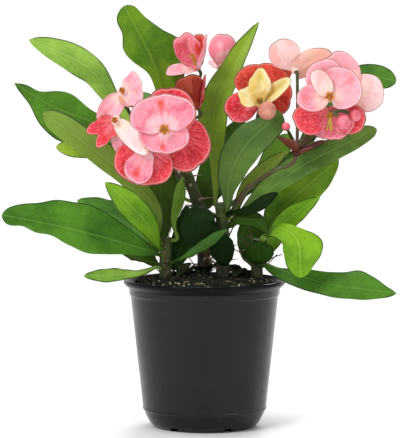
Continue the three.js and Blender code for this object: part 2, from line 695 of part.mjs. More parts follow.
        bracts: [
          { turn: -106, length: 25, width: 23, belly: 0.52, tilt: 6, cup: 1, curl: 1 },
          { turn: 112, length: 26, width: 22, belly: 0.5, tilt: 4, cup: 1, curl: 1 },
          { turn: 168, length: 20, width: 30, belly: 0.42, tilt: 5, cup: 0, curl: 1 },
        ],
      },
      {
        name: 'bloom_right_fork', collar: 2.4, eye: 0,
        bracts: [
          { turn: -32, length: 17, width: 17, belly: 0.45, tilt: 34, cup: 3, curl: 1 },
          { turn: 165, length: 22, width: 21, belly: 0.45, tilt: 36, cup: 3, curl: 1 },
        ],
      },
    ],
    buds: [
      { from: [81, -42, 210.5], centre: [89, -49, 205], radius: 4.9, stalk: [[85, -47, 209.5]] },
      { from: [81, -42, 210.5], centre: [97, -43, 209], radius: 4, stalk: [[89, -43.5, 212]] },
      { centre: [53, -33, 201.5], radius: 2.8, stalk: [[58, -28, 192]] },
    ],
  },
};

// The distance from the hub to the rim of a bract, in a direction from its middle line:
// the rim is an ellipse, with the hub inside its near end.
function bractRim(bract, angle) {
  const middle = bract.length * bract.belly;
  const deep = bract.length - middle;
  const c = Math.cos(angle) / deep;
  const s = Math.sin(angle) / (bract.width / 2);
  const shift = middle / deep;
  const a = c * c + s * s;
  const b = c * shift;
  const root = Math.max(b * b - a * (shift * shift - 1), 0);
  const rim = Math.max((b + Math.sqrt(root)) / a, BRACT_LEAST);
  return rim * (1 + (bract.point ?? 0) * Math.exp(-((angle / POINT_WIDTH) ** 2)));
}

function bractColumns(bract) {
  if (bract.width > WIDE_BRACT) return 8;
  return bract.width < SLIM_BRACT ? 4 : 6;
}

function bractGeometry(bract, layer) {
  const grid = [];
  const tilt = radians(bract.tilt);
  const columns = bractColumns(bract);
  const spread = bract.tilt > STEEP_BRACT ? STEEP_SPREAD : BRACT_SPREAD;
  for (let ring = 0; ring <= BRACT_RINGS; ring += 1) {
    const row = [];
    for (let column = 0; column <= columns; column += 1) {
      const angle = ((2 * column) / columns - 1) * spread;
      const out = ((bractRim(bract, angle) - HUB_INNER) * ring) / BRACT_RINGS;
      const ahead = out * Math.cos(angle);
      const aside = (HUB_INNER + out) * Math.sin(angle);
      const raised = Math.max(ahead, 0) * Math.sin(tilt);
      const reached = ahead > 0 ? ahead * Math.cos(tilt) : ahead;
      const sides = bract.cup * ((2 * aside) / bract.width) ** 2 * (ring / BRACT_RINGS);
      const lift = sides - bract.curl * (out / bract.length) ** 2;
      row.push(
        new THREE.Vector3(
          HUB_INNER * Math.cos(angle) + reached - lift * Math.sin(tilt),
          aside,
          layer + raised + lift * Math.cos(tilt)
        )
      );
    }
    grid.push(row);
  }
  // The bract points along +X here; turn it clockwise from +Y as seen from above.
  return sheet(grid, () => BRACT).rotateZ(Math.PI / 2 - radians(bract.turn));
}

function trunkCurve(cyme) {
  const trunk = cyme.trunk.map(vector);
  const { point, out } = rootOn(STEMS[cyme.stem], cyme.at, trunk[0]);
  const start = point.addScaledVector(out, TRUNK_LEAD);
  return new THREE.CatmullRomCurve3([start, ...trunk], false, 'catmullrom', 0.5);
}

// Places what is modelled looking along +Z, with its top towards +Y, on a bloom.
function bloomPlacement(bloom, cyme) {
  let centre;
  let face;
  if (bloom.collar) {
    const curve = trunkCurve(cyme);
    const share = 1 - bloom.collar / curve.getLength();
    centre = curve.getPointAt(share);
    face = curve.getTangentAt(share);
  } else {
    centre = vector(bloom.centre);
    face = vector(bloom.face).normalize();
  }
  const top = new THREE.Vector3(0, 0, 1).projectOnPlane(face).normalize();
  const right = top.clone().cross(face);
  return new THREE.Matrix4().makeBasis(right, top, face).setPosition(centre);
}

function bloomGeometry(bloom, cyme) {
  const hole = bloom.collar ? TRUNK + 2 * SEAT : NECK + SEAT;
  const outer = hole + HUB_WALL;
  const hub = ringOfPoints(
    [
      [hole, -HUB_BELOW],
      [outer, -HUB_BELOW],
      [outer, HUB_ABOVE],
      [hole, HUB_ABOVE],
      [hole, -HUB_BELOW],
    ],
    HUB_SIDES
  );
  const bracts = bloom.bracts.map((bract, index) => bractGeometry(bract, LAYERS[index]));
  return fromSolid(fused([hub, ...bracts])).applyMatrix4(bloomPlacement(bloom, cyme));
}

// The cup of stamens in a bloom's middle: its rim is drawn out into five nectar glands.
function cupGeometry(bloom) {
  const base = HUB_ABOVE + 1;
  const rim = base + bloom.rise;
  const section = [
    [0, -NECK_BELOW],
    [NECK, -NECK_BELOW],
    [NECK, base],
    [bloom.eye, rim],
    [0, rim - CUP_DISH],
  ];
  const cup = ringOfPoints(section, 2 * GLANDS);
  const position = cup.attributes.position;
  for (let index = 0; index < position.count; index += 1) {
    const radius = Math.hypot(position.getX(index), position.getY(index));
    const onRim = radius > bloom.eye / 2 && position.getZ(index) > rim - CUP_DISH / 2;
    const lobe = Math.cos(GLANDS * Math.atan2(position.getX(index), -position.getY(index)));
    const drawn = onRim ? 1 + GLAND_LOBE * lobe : 1;
    position.setX(index, position.getX(index) * drawn);
    position.setY(index, position.getY(index) * drawn);
  }
  return cup.applyMatrix4(bloomPlacement(bloom));
}

const thinned = (radius, t) => THREE.MathUtils.lerp(radius, radius * THINNING, t);

function stalk(points) {
  const curve = new THREE.CatmullRomCurve3(points, false, 'catmullrom', 0.5);
  return tube(curve, (t) => thinned(TWIG, t), STALK_SIDES, points.length + 1);
}

function cymeGeometry(cyme) {
  const trunk = trunkCurve(cyme);
  const fork = trunk.getPointAt(1);
  const steps = 2 * cyme.trunk.length;
  const parts = [tube(trunk, (t) => thinned(TRUNK, t), STALK_SIDES, steps)];
  for (const bloom of cyme.blooms.filter(({ collar }) => !collar)) {
    const face = vector(bloom.face).normalize();
    const centre = vector(bloom.centre);
    const below = centre.clone().addScaledVector(face, -STALK_LEAD);
    const neck = centre.clone().addScaledVector(face, -HUB_BELOW);
    parts.push(stalk([fork, ...bloom.via.map(vector), below, neck]));
    parts.push(cupGeometry(bloom));
  }
  for (const bud of cyme.buds) {
    const from = bud.from ? vector(bud.from) : fork;
    parts.push(stalk([from, ...bud.stalk.map(vector), vector(bud.centre)]));
    parts.push(new THREE.IcosahedronGeometry(bud.radius, 1).translate(...bud.centre));
  }
  return fromSolid(fused(parts));
}

// ---- Spines --------------------------------------------------------------

// Middles and half widths of everything that a spine keeps clear of.
function obstacles() {
  const found = [];
  for (const leaf of LEAVES) {
    const curve = midrib(leaf);
    const steps = stepsOf(leaf);
    for (let step = 0; step <= 4 * steps; step += 1) {
      const near = Math.round(step / 4);
      const width = Math.max(halfWidth(leaf, -1, near), halfWidth(leaf, 1, near));
      found.push({ point: curve.getPointAt(station(step / (4 * steps))), width });
    }
  }
  for (const cyme of Object.values(CYMES)) {
    const curve = trunkCurve(cyme);
    for (const point of curve.getSpacedPoints(16)) found.push({ point, width: TRUNK });
  }
  return found;
}

function isClear(point, blocked) {
  return blocked.every((obstacle) => obstacle.point.distanceTo(point) > obstacle.width + SPINE_CLEAR);
}

// Pairs of spines stand in a spiral from the soil to near the stem's top.
function spines(stem, blocked, random) {
  const found = [];
  const top = stem.path[stem.path.length - 1][2];
  let turn = random() * 2 * Math.PI;
  for (let height = SOIL_CROWN + 5; height < top - 4; height += SPINE_PITCH) {
    turn += SPINE_TURN;
    for (const side of [-SPINE_APART, SPINE_APART]) {
      const place = stemAt(stem, height + random());
      const out = new THREE.Vector3(Math.cos(turn + side), Math.sin(turn + side), SPINE_RISE).normalize();
      const root = place.centre.clone().addScaledVector(out, levelRadius(place, out) - SPINE_SUNK);
      const length = SPINE_SUNK + SPINE_LENGTH * (0.8 + 0.3 * random());
      const tip = root.clone().addScaledVector(out, length);
      const middle = root.clone().lerp(tip, 0.6);
      if (!isClear(tip, blocked) || !isClear(middle, blocked)) continue;
      const spine = new THREE.ConeGeometry(SPINE_ROOT, length, 3).translate(0, length / 2, 0);
      spine.applyQuaternion(new THREE.Quaternion().setFromUnitVectors(new THREE.Vector3(0, 1, 0), out));
      found.push(spine.translate(root.x, root.y, root.z));
    }
  }
  return found;
}

function stemGeometry(stem, blocked, random) {
  const curve = stemCurve(stem);
  const body = tube(curve, (t) => stemRadius(stem, t), STEM_SIDES, STEM_STEPS);
  return fromSolid(fused([body, ...spines(stem, blocked, random)]));
}

// ---- Soil ----------------------------------------------------------------

// The plug of peat: a lumpy crown, the pot's taper below it, and a plain hole for each stem.
function soilGeometry(random) {
  const rings = 4;
  const sides = 28;
  const edge = WALL_TOP[0] + 0.1 - SEAT;
  const positions = [0, 0, SOIL_CROWN];
  const indices = [];
  for (let ring = 1; ring <= rings; ring += 1) {
    const share = ring / rings;
    for (let side = 0; side < sides; side += 1) {
      const angle = (2 * Math.PI * side) / sides;
      const height = THREE.MathUtils.lerp(SOIL_CROWN, SOIL_EDGE, share * share);
      const lump = ring === rings ? 0 : (random() - 0.5) * 2 * SOIL_GRAIN;
      positions.push(edge * share * Math.cos(angle), edge * share * Math.sin(angle), height + lump);
    }
  }
  const bottomRadius = WALL_FOOT[0] - POT_WALL - 2 * SEAT;
  for (let side = 0; side < sides; side += 1) {
    const angle = (2 * Math.PI * side) / sides;
    positions.push(bottomRadius * Math.cos(angle), bottomRadius * Math.sin(angle), SOIL_BOTTOM);
  }
  const bottom = positions.length / 3;
  positions.push(0, 0, SOIL_BOTTOM);
  for (let side = 0; side < sides; side += 1) {
    const next = (side + 1) % sides;
    indices.push(0, 1 + side, 1 + next);
    for (let ring = 0; ring < rings; ring += 1) {
      const a = 1 + ring * sides + side;
      const b = 1 + ring * sides + next;
      indices.push(a, a + sides, b + sides, a, b + sides, b);
    }
    indices.push(bottom, bottom - sides + next, bottom - sides + side);
  }
  const plug = solidOf(geometryOf(positions, indices));
  const holes = Object.values(STEMS).map((stem) => {
    const height = SOIL_CROWN + 8 - HOLE_BOTTOM;
    const radius = stem.radius[0] + SEAT + HOLE_ROOM;
    return new THREE.CylinderGeometry(radius, radius, height, HOLE_SIDES)
      .rotateX(Math.PI / 2)
      .translate(stem.foot[0], stem.foot[1], HOLE_BOTTOM + height / 2);
  });
  return fromSolid(plug.subtract(fused(holes)));
}

// ---- The plant in its pot --------------------------------------------------

const LEAF_GREENS = {
  deep: 0x2f5a24,
  green: 0x47812a,
  mid: 0x5f8f42,
  bright: 0x558f1a,
  fresh: 0x7fb024,
  light: 0x86b04a,
};
const STALK_GREEN = 0x6f8a35;
const STEM_BROWN = 0x5a4a33;
const BRACT_COLOURS = {
  bloom_left_front: 0xf6b6c8,
  bloom_left_behind: 0xea4a50,
  bloom_left_lower: 0xf06a7c,
  bloom_left_outer: 0xf18f95,
  bloom_left_top: 0xf6b8b8,
  bloom_top_cup: 0xf07f92,
  bloom_top_back: 0xf5919f,
  bloom_top_lower: 0x9c2a22,
  bloom_centre_red: 0xe2453f,
  bloom_centre_cream: 0xf5e9a4,
  bloom_right_front: 0xf6c4cf,
  bloom_right_back_left: 0xf4c0c2,
  bloom_right_back: 0xf6c6cc,
  bloom_right_red: 0xea5560,
  bloom_right_fork: 0xa8403c,
};

const plant = new THREE.Group();

function add(name, geometry, color, roughness) {
  const flat = geometry.toNonIndexed();
  flat.computeVertexNormals();
  const material = new THREE.MeshStandardMaterial({ color, roughness, metalness: 0 });
  const mesh = new THREE.Mesh(flat, material);
  mesh.name = name;
  plant.add(mesh);
}

const random = seeded(SEED);
const blocked = obstacles();

add('pot', potGeometry(), 0x323232, 0.35);
add('soil', soilGeometry(random), 0x2c2418, 1);
for (const [name, stem] of Object.entries(STEMS)) {
  add(`stem_${name}`, stemGeometry(stem, blocked, random), STEM_BROWN, 0.8);
}
for (const leaf of LEAVES) add(leaf.name, leafGeometry(leaf), LEAF_GREENS[leaf.tone], 0.45);
for (const [name, cyme] of Object.entries(CYMES)) {
  add(`flower_stalks_${name}`, cymeGeometry(cyme), STALK_GREEN, 0.5);
  for (const bloom of cyme.blooms) {
    add(bloom.name, bloomGeometry(bloom, cyme), BRACT_COLOURS[bloom.name], 0.55);
  }
}

export default plant;
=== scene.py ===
"""A potted crown of thorns in bloom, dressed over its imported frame.

Tables and shapes are in millimetres; meshes are made in metres. The origin is the
middle of the pot's underside, +Z is up and the plant's front looks along -Y.
"""
import math

import bpy
import numpy as np
from mathutils import Matrix, Vector


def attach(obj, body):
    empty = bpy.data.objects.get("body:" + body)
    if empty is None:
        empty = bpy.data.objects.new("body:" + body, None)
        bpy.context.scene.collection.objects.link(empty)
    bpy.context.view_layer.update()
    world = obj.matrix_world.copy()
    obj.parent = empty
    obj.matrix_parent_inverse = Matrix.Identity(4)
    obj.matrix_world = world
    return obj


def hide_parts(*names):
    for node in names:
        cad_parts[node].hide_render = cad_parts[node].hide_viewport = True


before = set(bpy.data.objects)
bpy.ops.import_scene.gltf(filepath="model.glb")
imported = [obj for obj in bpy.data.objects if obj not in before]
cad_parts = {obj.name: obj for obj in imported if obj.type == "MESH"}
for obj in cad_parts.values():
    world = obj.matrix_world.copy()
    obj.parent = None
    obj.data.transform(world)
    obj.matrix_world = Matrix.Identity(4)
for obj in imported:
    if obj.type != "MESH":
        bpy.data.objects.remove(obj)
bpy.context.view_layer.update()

# ---------------------------------------------------------------- camera
# The view of a shop's catalogue picture: a long lens, a little above the pot's rim,
# looking slightly down.
CAMERA_PLACE = (-0.0027, -1.6, 0.2535)
CAMERA_DIP = 4.1  # degrees below the level
CAMERA_LENS = 197.7
CAMERA_SENSOR = 36

lens = bpy.data.cameras.new("camera")
lens.lens = CAMERA_LENS
lens.sensor_width = CAMERA_SENSOR
lens.dof.use_dof = False
camera = bpy.data.objects.new("camera", lens)
camera.location = CAMERA_PLACE
camera.rotation_euler = (math.radians(90 - CAMERA_DIP), 0, 0)
bpy.context.scene.collection.objects.link(camera)
bpy.context.scene.camera = camera

# ---------------------------------------------------------------- studio
# A white table in a white room, with a large soft lamp at the upper left, a weaker
# one at the right, one overhead and one behind. Colours are shown as they are.
LAMPS = {
    "key": dict(place=(-1.1, -1.4, 1.5), size=1.0, power=34),
    "fill": dict(place=(1.5, -1.2, 0.6), size=1.1, power=6),
    "top": dict(place=(-0.1, 0.1, 1.7), size=0.8, power=15),
    "back": dict(place=(0.5, 1.5, 1.1), size=1.0, power=16),
}
LAMPS_LOOK_AT = Vector((0, 0, 0.16))
WALL_GLOW = 1.05
CEILING_GLOW = 0.3
WALL_TOP = (0.08, 0.45)  # where the walls start and end to turn into the ceiling
TABLE_WIDTH = 1.6
TABLE_PALE = (0.9, 0.9, 0.9, 1)
TABLE_ROUGHNESS = 0.6


class Signal:
    """The output of a node. Arithmetic on it adds Math nodes."""

    def __init__(self, network, socket):
        self.network = network
        self.socket = socket

    def _math(self, operation, first, second):
        """A Math node that takes two numbers or signals."""
        return self.network.node("ShaderNodeMath", {"operation": operation}, {0: first, 1: second})

    def __add__(self, other):
        return self._math("ADD", self, other)

    def __sub__(self, other):
        return self._math("SUBTRACT", self, other)

    def __mul__(self, other):
        return self._math("MULTIPLY", self, other)

    def __rsub__(self, other):
        return self._math("SUBTRACT", other, self)

    def __abs__(self):
        return self._math("ABSOLUTE", self, 0)

    __radd__ = __add__
    __rmul__ = __mul__

    def between(self, low, high):
        """0 below low, 1 above high, and a smooth rise between them."""
        return self.network.node(
            "ShaderNodeMapRange",
            {"interpolation_type": "SMOOTHSTEP"},
            {"Value": self, "From Min": low, "From Max": high},
        )


class Network:
    """The nodes of one finish or of the room."""

    def __init__(self, tree):
        self.tree = tree

    def feed(self, socket, value):
        """Links a signal to a socket, or sets the socket to a constant."""
        if isinstance(value, Signal):
            self.tree.links.new(value.socket, socket)
        else:
            socket.default_value = value

    def node(self, kind, settings=None, inputs=None, output=0):
        """A node: its settings are set first, then its sockets' values or links."""
        made = self.tree.nodes.new(kind)
        for name, value in (settings or {}).items():
            setattr(made, name, value)
        for key, value in (inputs or {}).items():
            self.feed(made.inputs[key], value)
        return Signal(self, made.outputs[output])


for name, lamp in LAMPS.items():
    light = bpy.data.lights.new(name, "AREA")
    light.energy = lamp["power"]
    light.size = lamp["size"]
    stand = bpy.data.objects.new(name, light)
    stand.location = lamp["place"]
    stand.rotation_euler = (LAMPS_LOOK_AT - stand.location).to_track_quat("-Z", "Y").to_euler()
    bpy.context.scene.collection.objects.link(stand)

room = bpy.data.worlds.new("room")
room.use_nodes = True
room_nodes = Network(room.node_tree)
ray = room_nodes.node("ShaderNodeTexCoord", output="Generated")
ceiling = room_nodes.node("ShaderNodeSeparateXYZ", {}, {"Vector": ray}, output="Z").between(*WALL_TOP)
glow = ceiling * (CEILING_GLOW - WALL_GLOW) + WALL_GLOW
walls = room.node_tree.nodes["Background"].inputs
room_nodes.feed(walls["Color"], (1, 1, 1, 1))
room_nodes.feed(walls["Strength"], glow)
bpy.context.scene.world = room
bpy.context.scene.view_settings.view_transform = "Standard"

bpy.ops.mesh.primitive_plane_add(size=TABLE_WIDTH, location=(0, 0, 0))
table = bpy.context.object
table.name = "table"
table_top = bpy.data.materials.new("white_table")
table_top.use_nodes = True
lacquer = table_top.node_tree.nodes["Principled BSDF"].inputs
lacquer["Base Color"].default_value = TABLE_PALE
lacquer["Roughness"].default_value = TABLE_ROUGHNESS
table.data.materials.append(table_top)

# ---------------------------------------------------------------- pot
# The nursery pot: black polypropylene, blown thin, with a rolled rim, a rounded foot
# and six drain notches. Its skin is satin, with faint drag lines and dust.
MM = 0.001
POT_OUTSIDE = [
    (0, 0), (33.5, 0), (36.8, 3.4), (39.4, 8.2), (40.8, 11.6), (41.5, 12.1), (41.5, 12.9),
    (41.3, 13.6), (48.8, 82), (49.3, 88), (50.1, 88.6), (50.4, 92.6), (53.4, 95.4), (54, 96.4),
    (54, 98), (53.2, 98.6),
]
POT_INSIDE = [(51.8, 98.2), (49.1, 93.4), (47.6, 82), (40, 12.9), (33.4, 1.8), (0, 1.8)]
POT_ROUNDING = 0.9  # radius of the bends in the wall
LIP_FOOT = 92  # the wall above it takes a darker, less shiny finish: a painted dark reflection on the lip of this one-plastic pot
POT_SIDES = 192
DRAIN_NOTCHES = 6
FIRST_NOTCH = -64  # degrees from +X
NOTCH_SIZE = (16, 6.5, 5.4)  # deep, wide and twice as high as what shows
NOTCH_RADIUS = 35
BOX_FACES = [(0, 1, 3, 2), (4, 6, 7, 5), (0, 4, 5, 1), (2, 3, 7, 6), (0, 2, 6, 4), (1, 5, 7, 3)]


def paint(code):
    """A colour given as in a paint chart, #rrggbb, for a shader."""
    parts = [int(code[i:i + 2], 16) / 255 for i in (1, 3, 5)]
    return tuple(p / 12.92 if p <= 0.04045 else ((p + 0.055) / 1.055) ** 2.4 for p in parts) + (1.0,)


class Piece:
    """Gathers the parts of one piece in millimetres and makes its object in metres."""

    def __init__(self, name):
        self.name = name
        self.points = []
        self.faces = []
        self.finishes = []
        self.values = {}

    def add(self, points, faces, finish=0, **values):
        """Adds a part. finish is its material's number, values are numbers for each point."""
        start = len(self.points)
        self.points += [tuple(p) for p in points]
        self.faces += [tuple(start + i for i in face) for face in faces]
        self.finishes += [finish] * len(faces)
        for name in {**self.values, **values}:
            kept = self.values.setdefault(name, [0.0] * start)
            kept.extend(values.get(name, [0.0] * len(points)))

    def make(self, finishes, crease=60):
        """The object, smooth but for folds sharper than crease, in degrees."""
        mesh = bpy.data.meshes.new(self.name)
        mesh.from_pydata((np.array(self.points) * MM).tolist(), [], self.faces)
        mesh.polygons.foreach_set("material_index", self.finishes)
        mesh.polygons.foreach_set("use_smooth", [True] * len(self.faces))
        for name, values in self.values.items():
            mesh.attributes.new(name, "FLOAT", "POINT").data.foreach_set("value", values)
        mesh.set_sharp_from_angle(angle=math.radians(crease))
        for finish in finishes:
            mesh.materials.append(finish)
        mesh.update()
        made = bpy.data.objects.new(self.name, mesh)
        bpy.context.scene.collection.objects.link(made)
        return made


class Finish(Network):
    """A material. shader holds the sockets whose value is the same all over."""

    def __init__(self, name, **shader):
        self.material = bpy.data.materials.new(name)
        self.material.use_nodes = True
        super().__init__(self.material.node_tree)
        self.surface = self.tree.nodes["Principled BSDF"]
        self.place = self.tree.nodes.new("ShaderNodeTexCoord").outputs["Object"]
        for socket, value in shader.items():
            self.surface.inputs[socket.replace("_", " ")].default_value = value

    def value(self, name):
        """A value that the mesh holds at each of its points."""
        return self.node("ShaderNodeAttribute", {"attribute_name": name}, output="Fac")

    def noise(self, size, detail=3, roughness=0.5, stretch=(1, 1, 1)):
        """Noise from 0 to 1, in lumps of a size in millimetres."""
        place = self.node(
            "ShaderNodeMapping", {}, {"Vector": Signal(self, self.place), "Scale": stretch}
        )
        return self.node(
            "ShaderNodeTexNoise",
            {},
            {"Vector": place, "Scale": 1 / (size * MM), "Detail": detail, "Roughness": roughness},
        )

    def mix(self, first, second, share):
        """Colour first, turning into second as share goes from 0 to 1."""
        settings = {"data_type": "RGBA", "clamp_factor": True}
        return self.node("ShaderNodeMix", settings, {0: share, 6: first, 7: second}, output=2)

    def color(self, value):
        """Sets the colour of the surface."""
        self.feed(self.surface.inputs["Base Color"], value)

    def roughness(self, value):
        """Sets how dull the surface is, from 0 to 1."""
        self.feed(self.surface.inputs["Roughness"], value)

    def relief(self, height, depth):
        """Bumps of a depth in millimetres where height is 1."""
        bump = self.node("ShaderNodeBump", {}, {"Height": height, "Distance": depth * MM})
        self.feed(self.surface.inputs["Normal"], bump)


def revolve(profile, sides):
    """A closed body turned from a half section that starts and ends on the axis."""
    points = [(0, 0, profile[0][1]), (0, 0, profile[-1][1])]
    for radius, height in profile[1:-1]:
        for side in range(sides):
            angle = 2 * math.pi * side / sides
            points.append((radius * math.cos(angle), radius * math.sin(angle), height))
    faces = []
    last = 2 + (len(profile) - 3) * sides
    for side in range(sides):
        after = (side + 1) % sides
        faces.append((0, 2 + after, 2 + side))
        faces.append((1, last + side, last + after))
        for ring in range(len(profile) - 3):
            a = 2 + ring * sides
            faces.append((a + side, a + after, a + sides + after, a + sides + side))
    return points, faces


def rounded(profile, radius, steps=4):
    """The profile with each of its inner corners turned into a bend."""
    made = [profile[0]]
    for before, corner, after in zip(profile, profile[1:], profile[2:]):
        corner = np.array(corner, float)
        ways = [np.array(before) - corner, np.array(after) - corner]
        reach = min(radius, 0.45 * min(np.linalg.norm(way) for way in ways))
        start, end = (corner + way / np.linalg.norm(way) * reach for way in ways)
        for step in range(steps + 1):
            t = step / steps
            made.append(tuple((1 - t) ** 2 * start + 2 * t * (1 - t) * corner + t * t * end))
    return made + [profile[-1]]


def cut(piece, cutter):
    """Takes the cutter's shape out of the piece, and the cutter away."""
    step = piece.modifiers.new("cut", "BOOLEAN")
    step.object = cutter
    step.solver = "EXACT"
    seen = bpy.context.evaluated_depsgraph_get()
    mesh = bpy.data.meshes.new_from_object(piece.evaluated_get(seen))
    piece.modifiers.clear()
    piece.data = mesh
    bpy.data.objects.remove(cutter)


def black_plastic(name, shine, dull, scuffed):
    """Satin black plastic with drag lines from the mould and patches of dust."""
    skin = Finish(name, Specular_IOR_Level=shine)
    drag = skin.noise(9, 3, stretch=(1, 1, 0.12))
    dust = skin.noise(22, 4).between(0.5, 0.75)
    skin.color(skin.mix(paint(dull), paint(scuffed), dust * 0.7))
    skin.roughness(0.2 + drag * 0.08 + dust * 0.08)
    skin.relief(skin.noise(0.7, 2) * 0.3 + drag, 0.06)
    return skin.material


plastic = black_plastic("satin_black_plastic", 0.27, "#080809", "#101010")
# painted reflection: the lip's finish is painted darker and less shiny than the rest of the pot
lip_reflection_plastic = black_plastic("painted_reflection_black_plastic", 0.1, "#040404", "#0a0a0a")

wall = Piece("pot_wall")
wall.add(*revolve(rounded(POT_OUTSIDE + POT_INSIDE, POT_ROUNDING), POT_SIDES))
pot = wall.make([plastic, lip_reflection_plastic])
# the faces above LIP_FOOT take the painted dark reflection
for face in pot.data.polygons:
    face.material_index = int(face.center.z > LIP_FOOT * MM)
notches = Piece("notches")
for notch in range(DRAIN_NOTCHES):
    angle = math.radians(FIRST_NOTCH + 360 / DRAIN_NOTCHES * notch)
    turn = Matrix.Rotation(angle, 3, "Z")
    half = Vector(NOTCH_SIZE) / 2
    corners = [
        Vector((x, y, z))
        for x in (-half.x, half.x)
        for y in (-half.y, half.y)
        for z in (-half.z, half.z)
    ]
    corners = [turn @ (corner + Vector((NOTCH_RADIUS, 0, 0))) for corner in corners]
    notches.add(corners, BOX_FACES)
cut(pot, notches.make([plastic]))
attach(pot, "root")
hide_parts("pot")

# ---------------------------------------------------------------- soil
# The growing mix: a plug of dark peat filled by hand to the rim, crumbly on top,
# with chips of bark, a few fibres and white grains of perlite lying in it.
SOIL_EDGE = 95.2
SOIL_CROWN = 100.6
SOIL_BOTTOM = 13.5
SOIL_RADIUS = 48.6
SOIL_BOTTOM_RADIUS = 39.4
SOIL_LUMPS = [(0.55, 9, 5), (0.42, 3.6, 6), (0.3, 1.7, 7)]  # height, size and seed
LUMP_WAVES = 9
SOIL_RINGS = 72
SOIL_SIDES = 200
SOIL_SEED = 77
CRUMBS = 620
BARK_CHIPS = 150
PERLITE = 300
PERLITE_INNER = 0.62  # share of the radius from which the grains lie
GRAIN_REACH = 0.97  # share of the radius up to which anything lies
GRAIN_KNOBS = (0.65, 1.25)  # how far a grain's points stand out, in its radius
GRAIN_TILT = 0.7  # radians
FIBRES = 70
FIBRE_REACH = 32  # how far from the middle one lies, along X and along Y
FIBRE_LENGTH = (1.5, 4.5)  # half of it
FIBRE_HALF = 0.16  # half the thickness of a fibre


class Draw:
    """Random numbers from 0 to 1, the same in each run."""

    def __init__(self, seed):
        self.state = seed

    def __call__(self):
        """The next number."""
        self.state = (self.state * 16807) % 2147483647
        return self.state / 2147483647

    def spread(self, low, high):
        """The next number, between two limits."""
        return low + (high - low) * self()

    def heading(self):
        """An angle all round, in radians."""
        return 6.28 * self()


def lumps(x, y, size, seed):
    """Smooth bumps from -1 to 1 over a plane, of a size in millimetres."""
    draw = Draw(seed)
    total = 0
    for _ in range(LUMP_WAVES):
        way = 2 * math.pi * draw()
        reach = draw.spread(0.6, 1.5) * 2 * math.pi / size
        total = total + np.sin((x * math.cos(way) + y * math.sin(way)) * reach + draw.heading())
    return total / 3.2


def soil_height(x, y):
    """The height of the crumbly surface, a low dome that meets the wall evenly."""
    share = np.clip(np.hypot(x, y) / SOIL_RADIUS, 0, 1)
    base = SOIL_CROWN + (SOIL_EDGE - SOIL_CROWN) * share ** 2
    rough = sum(height * lumps(x, y, size, seed) for height, size, seed in SOIL_LUMPS)
    return base + rough * (1 - share ** 8)


def ball(rows, sides):
    """Points and faces of a unit ball."""
    profile = [(math.sin(math.pi * r / rows), -math.cos(math.pi * r / rows)) for r in range(rows + 1)]
    return revolve(profile, sides)


def scatter(piece, count, draw, size, squash, sink=0.35, inner=0):
    """Lays small uneven grains on the soil, each turned and sized on its own.

    size is the least and the greatest radius, squash its share along each axis, sink the
    share of a grain that is in the soil and inner the share of the radius left bare.
    """
    shape, faces = ball(4, 6)
    shape = np.array(shape)
    for _ in range(count):
        radius = SOIL_RADIUS * GRAIN_REACH * math.sqrt(inner ** 2 + (1 - inner ** 2) * draw())
        angle = 2 * math.pi * draw()
        x, y = radius * math.cos(angle), radius * math.sin(angle)
        grain_size = draw.spread(*size)
        knobs = np.array([draw.spread(*GRAIN_KNOBS) for _ in shape])[:, None]
        grain_points = shape * knobs * grain_size * np.array(squash)
        turn = Matrix.Rotation(draw.heading(), 3, "Z")
        tilt = Matrix.Rotation(draw.spread(-GRAIN_TILT, GRAIN_TILT), 3, "X")
        grain_points = grain_points @ np.array(turn @ tilt).T
        lift = soil_height(x, y) + grain_size * squash[2] * (1 - 2 * sink)
        piece.add(grain_points + np.array([x, y, lift]), faces)


peat = Finish("peat", Specular_IOR_Level=0.25)
fine = peat.noise(0.9, 5, 0.7)
coarse = peat.noise(5, 3)
peat.color(peat.mix(paint("#0c0c07"), paint("#2e2e1a"), fine.between(0.35, 0.8) * (0.4 + coarse)))
peat.roughness(0.82 + fine * 0.15)
peat.relief(fine + coarse * 0.6, 0.9)

bark = Finish("bark_chips", Specular_IOR_Level=0.3)
streak = bark.noise(2.2, 4, stretch=(1, 1, 3))
bark.color(bark.mix(paint("#221e10"), paint("#7c7050"), streak.between(0.35, 0.75)))
bark.roughness(0.7 + streak * 0.2)
bark.relief(streak, 0.4)

perlite = Finish("perlite", Specular_IOR_Level=0.3)
pitted = perlite.noise(0.5, 3)
perlite.color(perlite.mix(paint("#8c8468"), paint("#dcd4b8"), pitted.between(0.35, 0.65)))
perlite.roughness(0.75 + pitted * 0.2)
perlite.relief(pitted, 0.25)

plug = Piece("peat_plug")
shares = np.linspace(0, 1, SOIL_RINGS + 1)[1:]
angles = np.linspace(0, 2 * math.pi, SOIL_SIDES, endpoint=False)
xs = SOIL_RADIUS * shares[:, None] * np.cos(angles)
ys = SOIL_RADIUS * shares[:, None] * np.sin(angles)
zs = soil_height(xs, ys)
crown = np.stack([xs, ys, zs], -1).reshape(-1, 3)
foot_ring = [
    (SOIL_BOTTOM_RADIUS * math.cos(a), SOIL_BOTTOM_RADIUS * math.sin(a), SOIL_BOTTOM) for a in angles
]
plug_points = [(0, 0, float(soil_height(0.0, 0.0)))] + crown.tolist() + foot_ring + [(0, 0, SOIL_BOTTOM)]
plug_faces = []
for side in range(SOIL_SIDES):
    after = (side + 1) % SOIL_SIDES
    plug_faces.append((0, 1 + side, 1 + after))
    for ring in range(SOIL_RINGS):
        a = 1 + ring * SOIL_SIDES
        plug_faces.append((a + side, a + SOIL_SIDES + side, a + SOIL_SIDES + after, a + after))
    last = 1 + SOIL_RINGS * SOIL_SIDES
    plug_faces.append((last + SOIL_SIDES, last + after, last + side))
plug.add(plug_points, plug_faces)
loose = Draw(SOIL_SEED)
scatter(plug, CRUMBS, loose, (0.6, 2.1), (1, 1, 0.8))
soil = plug.make([peat.material])
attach(soil, "root")
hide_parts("soil")

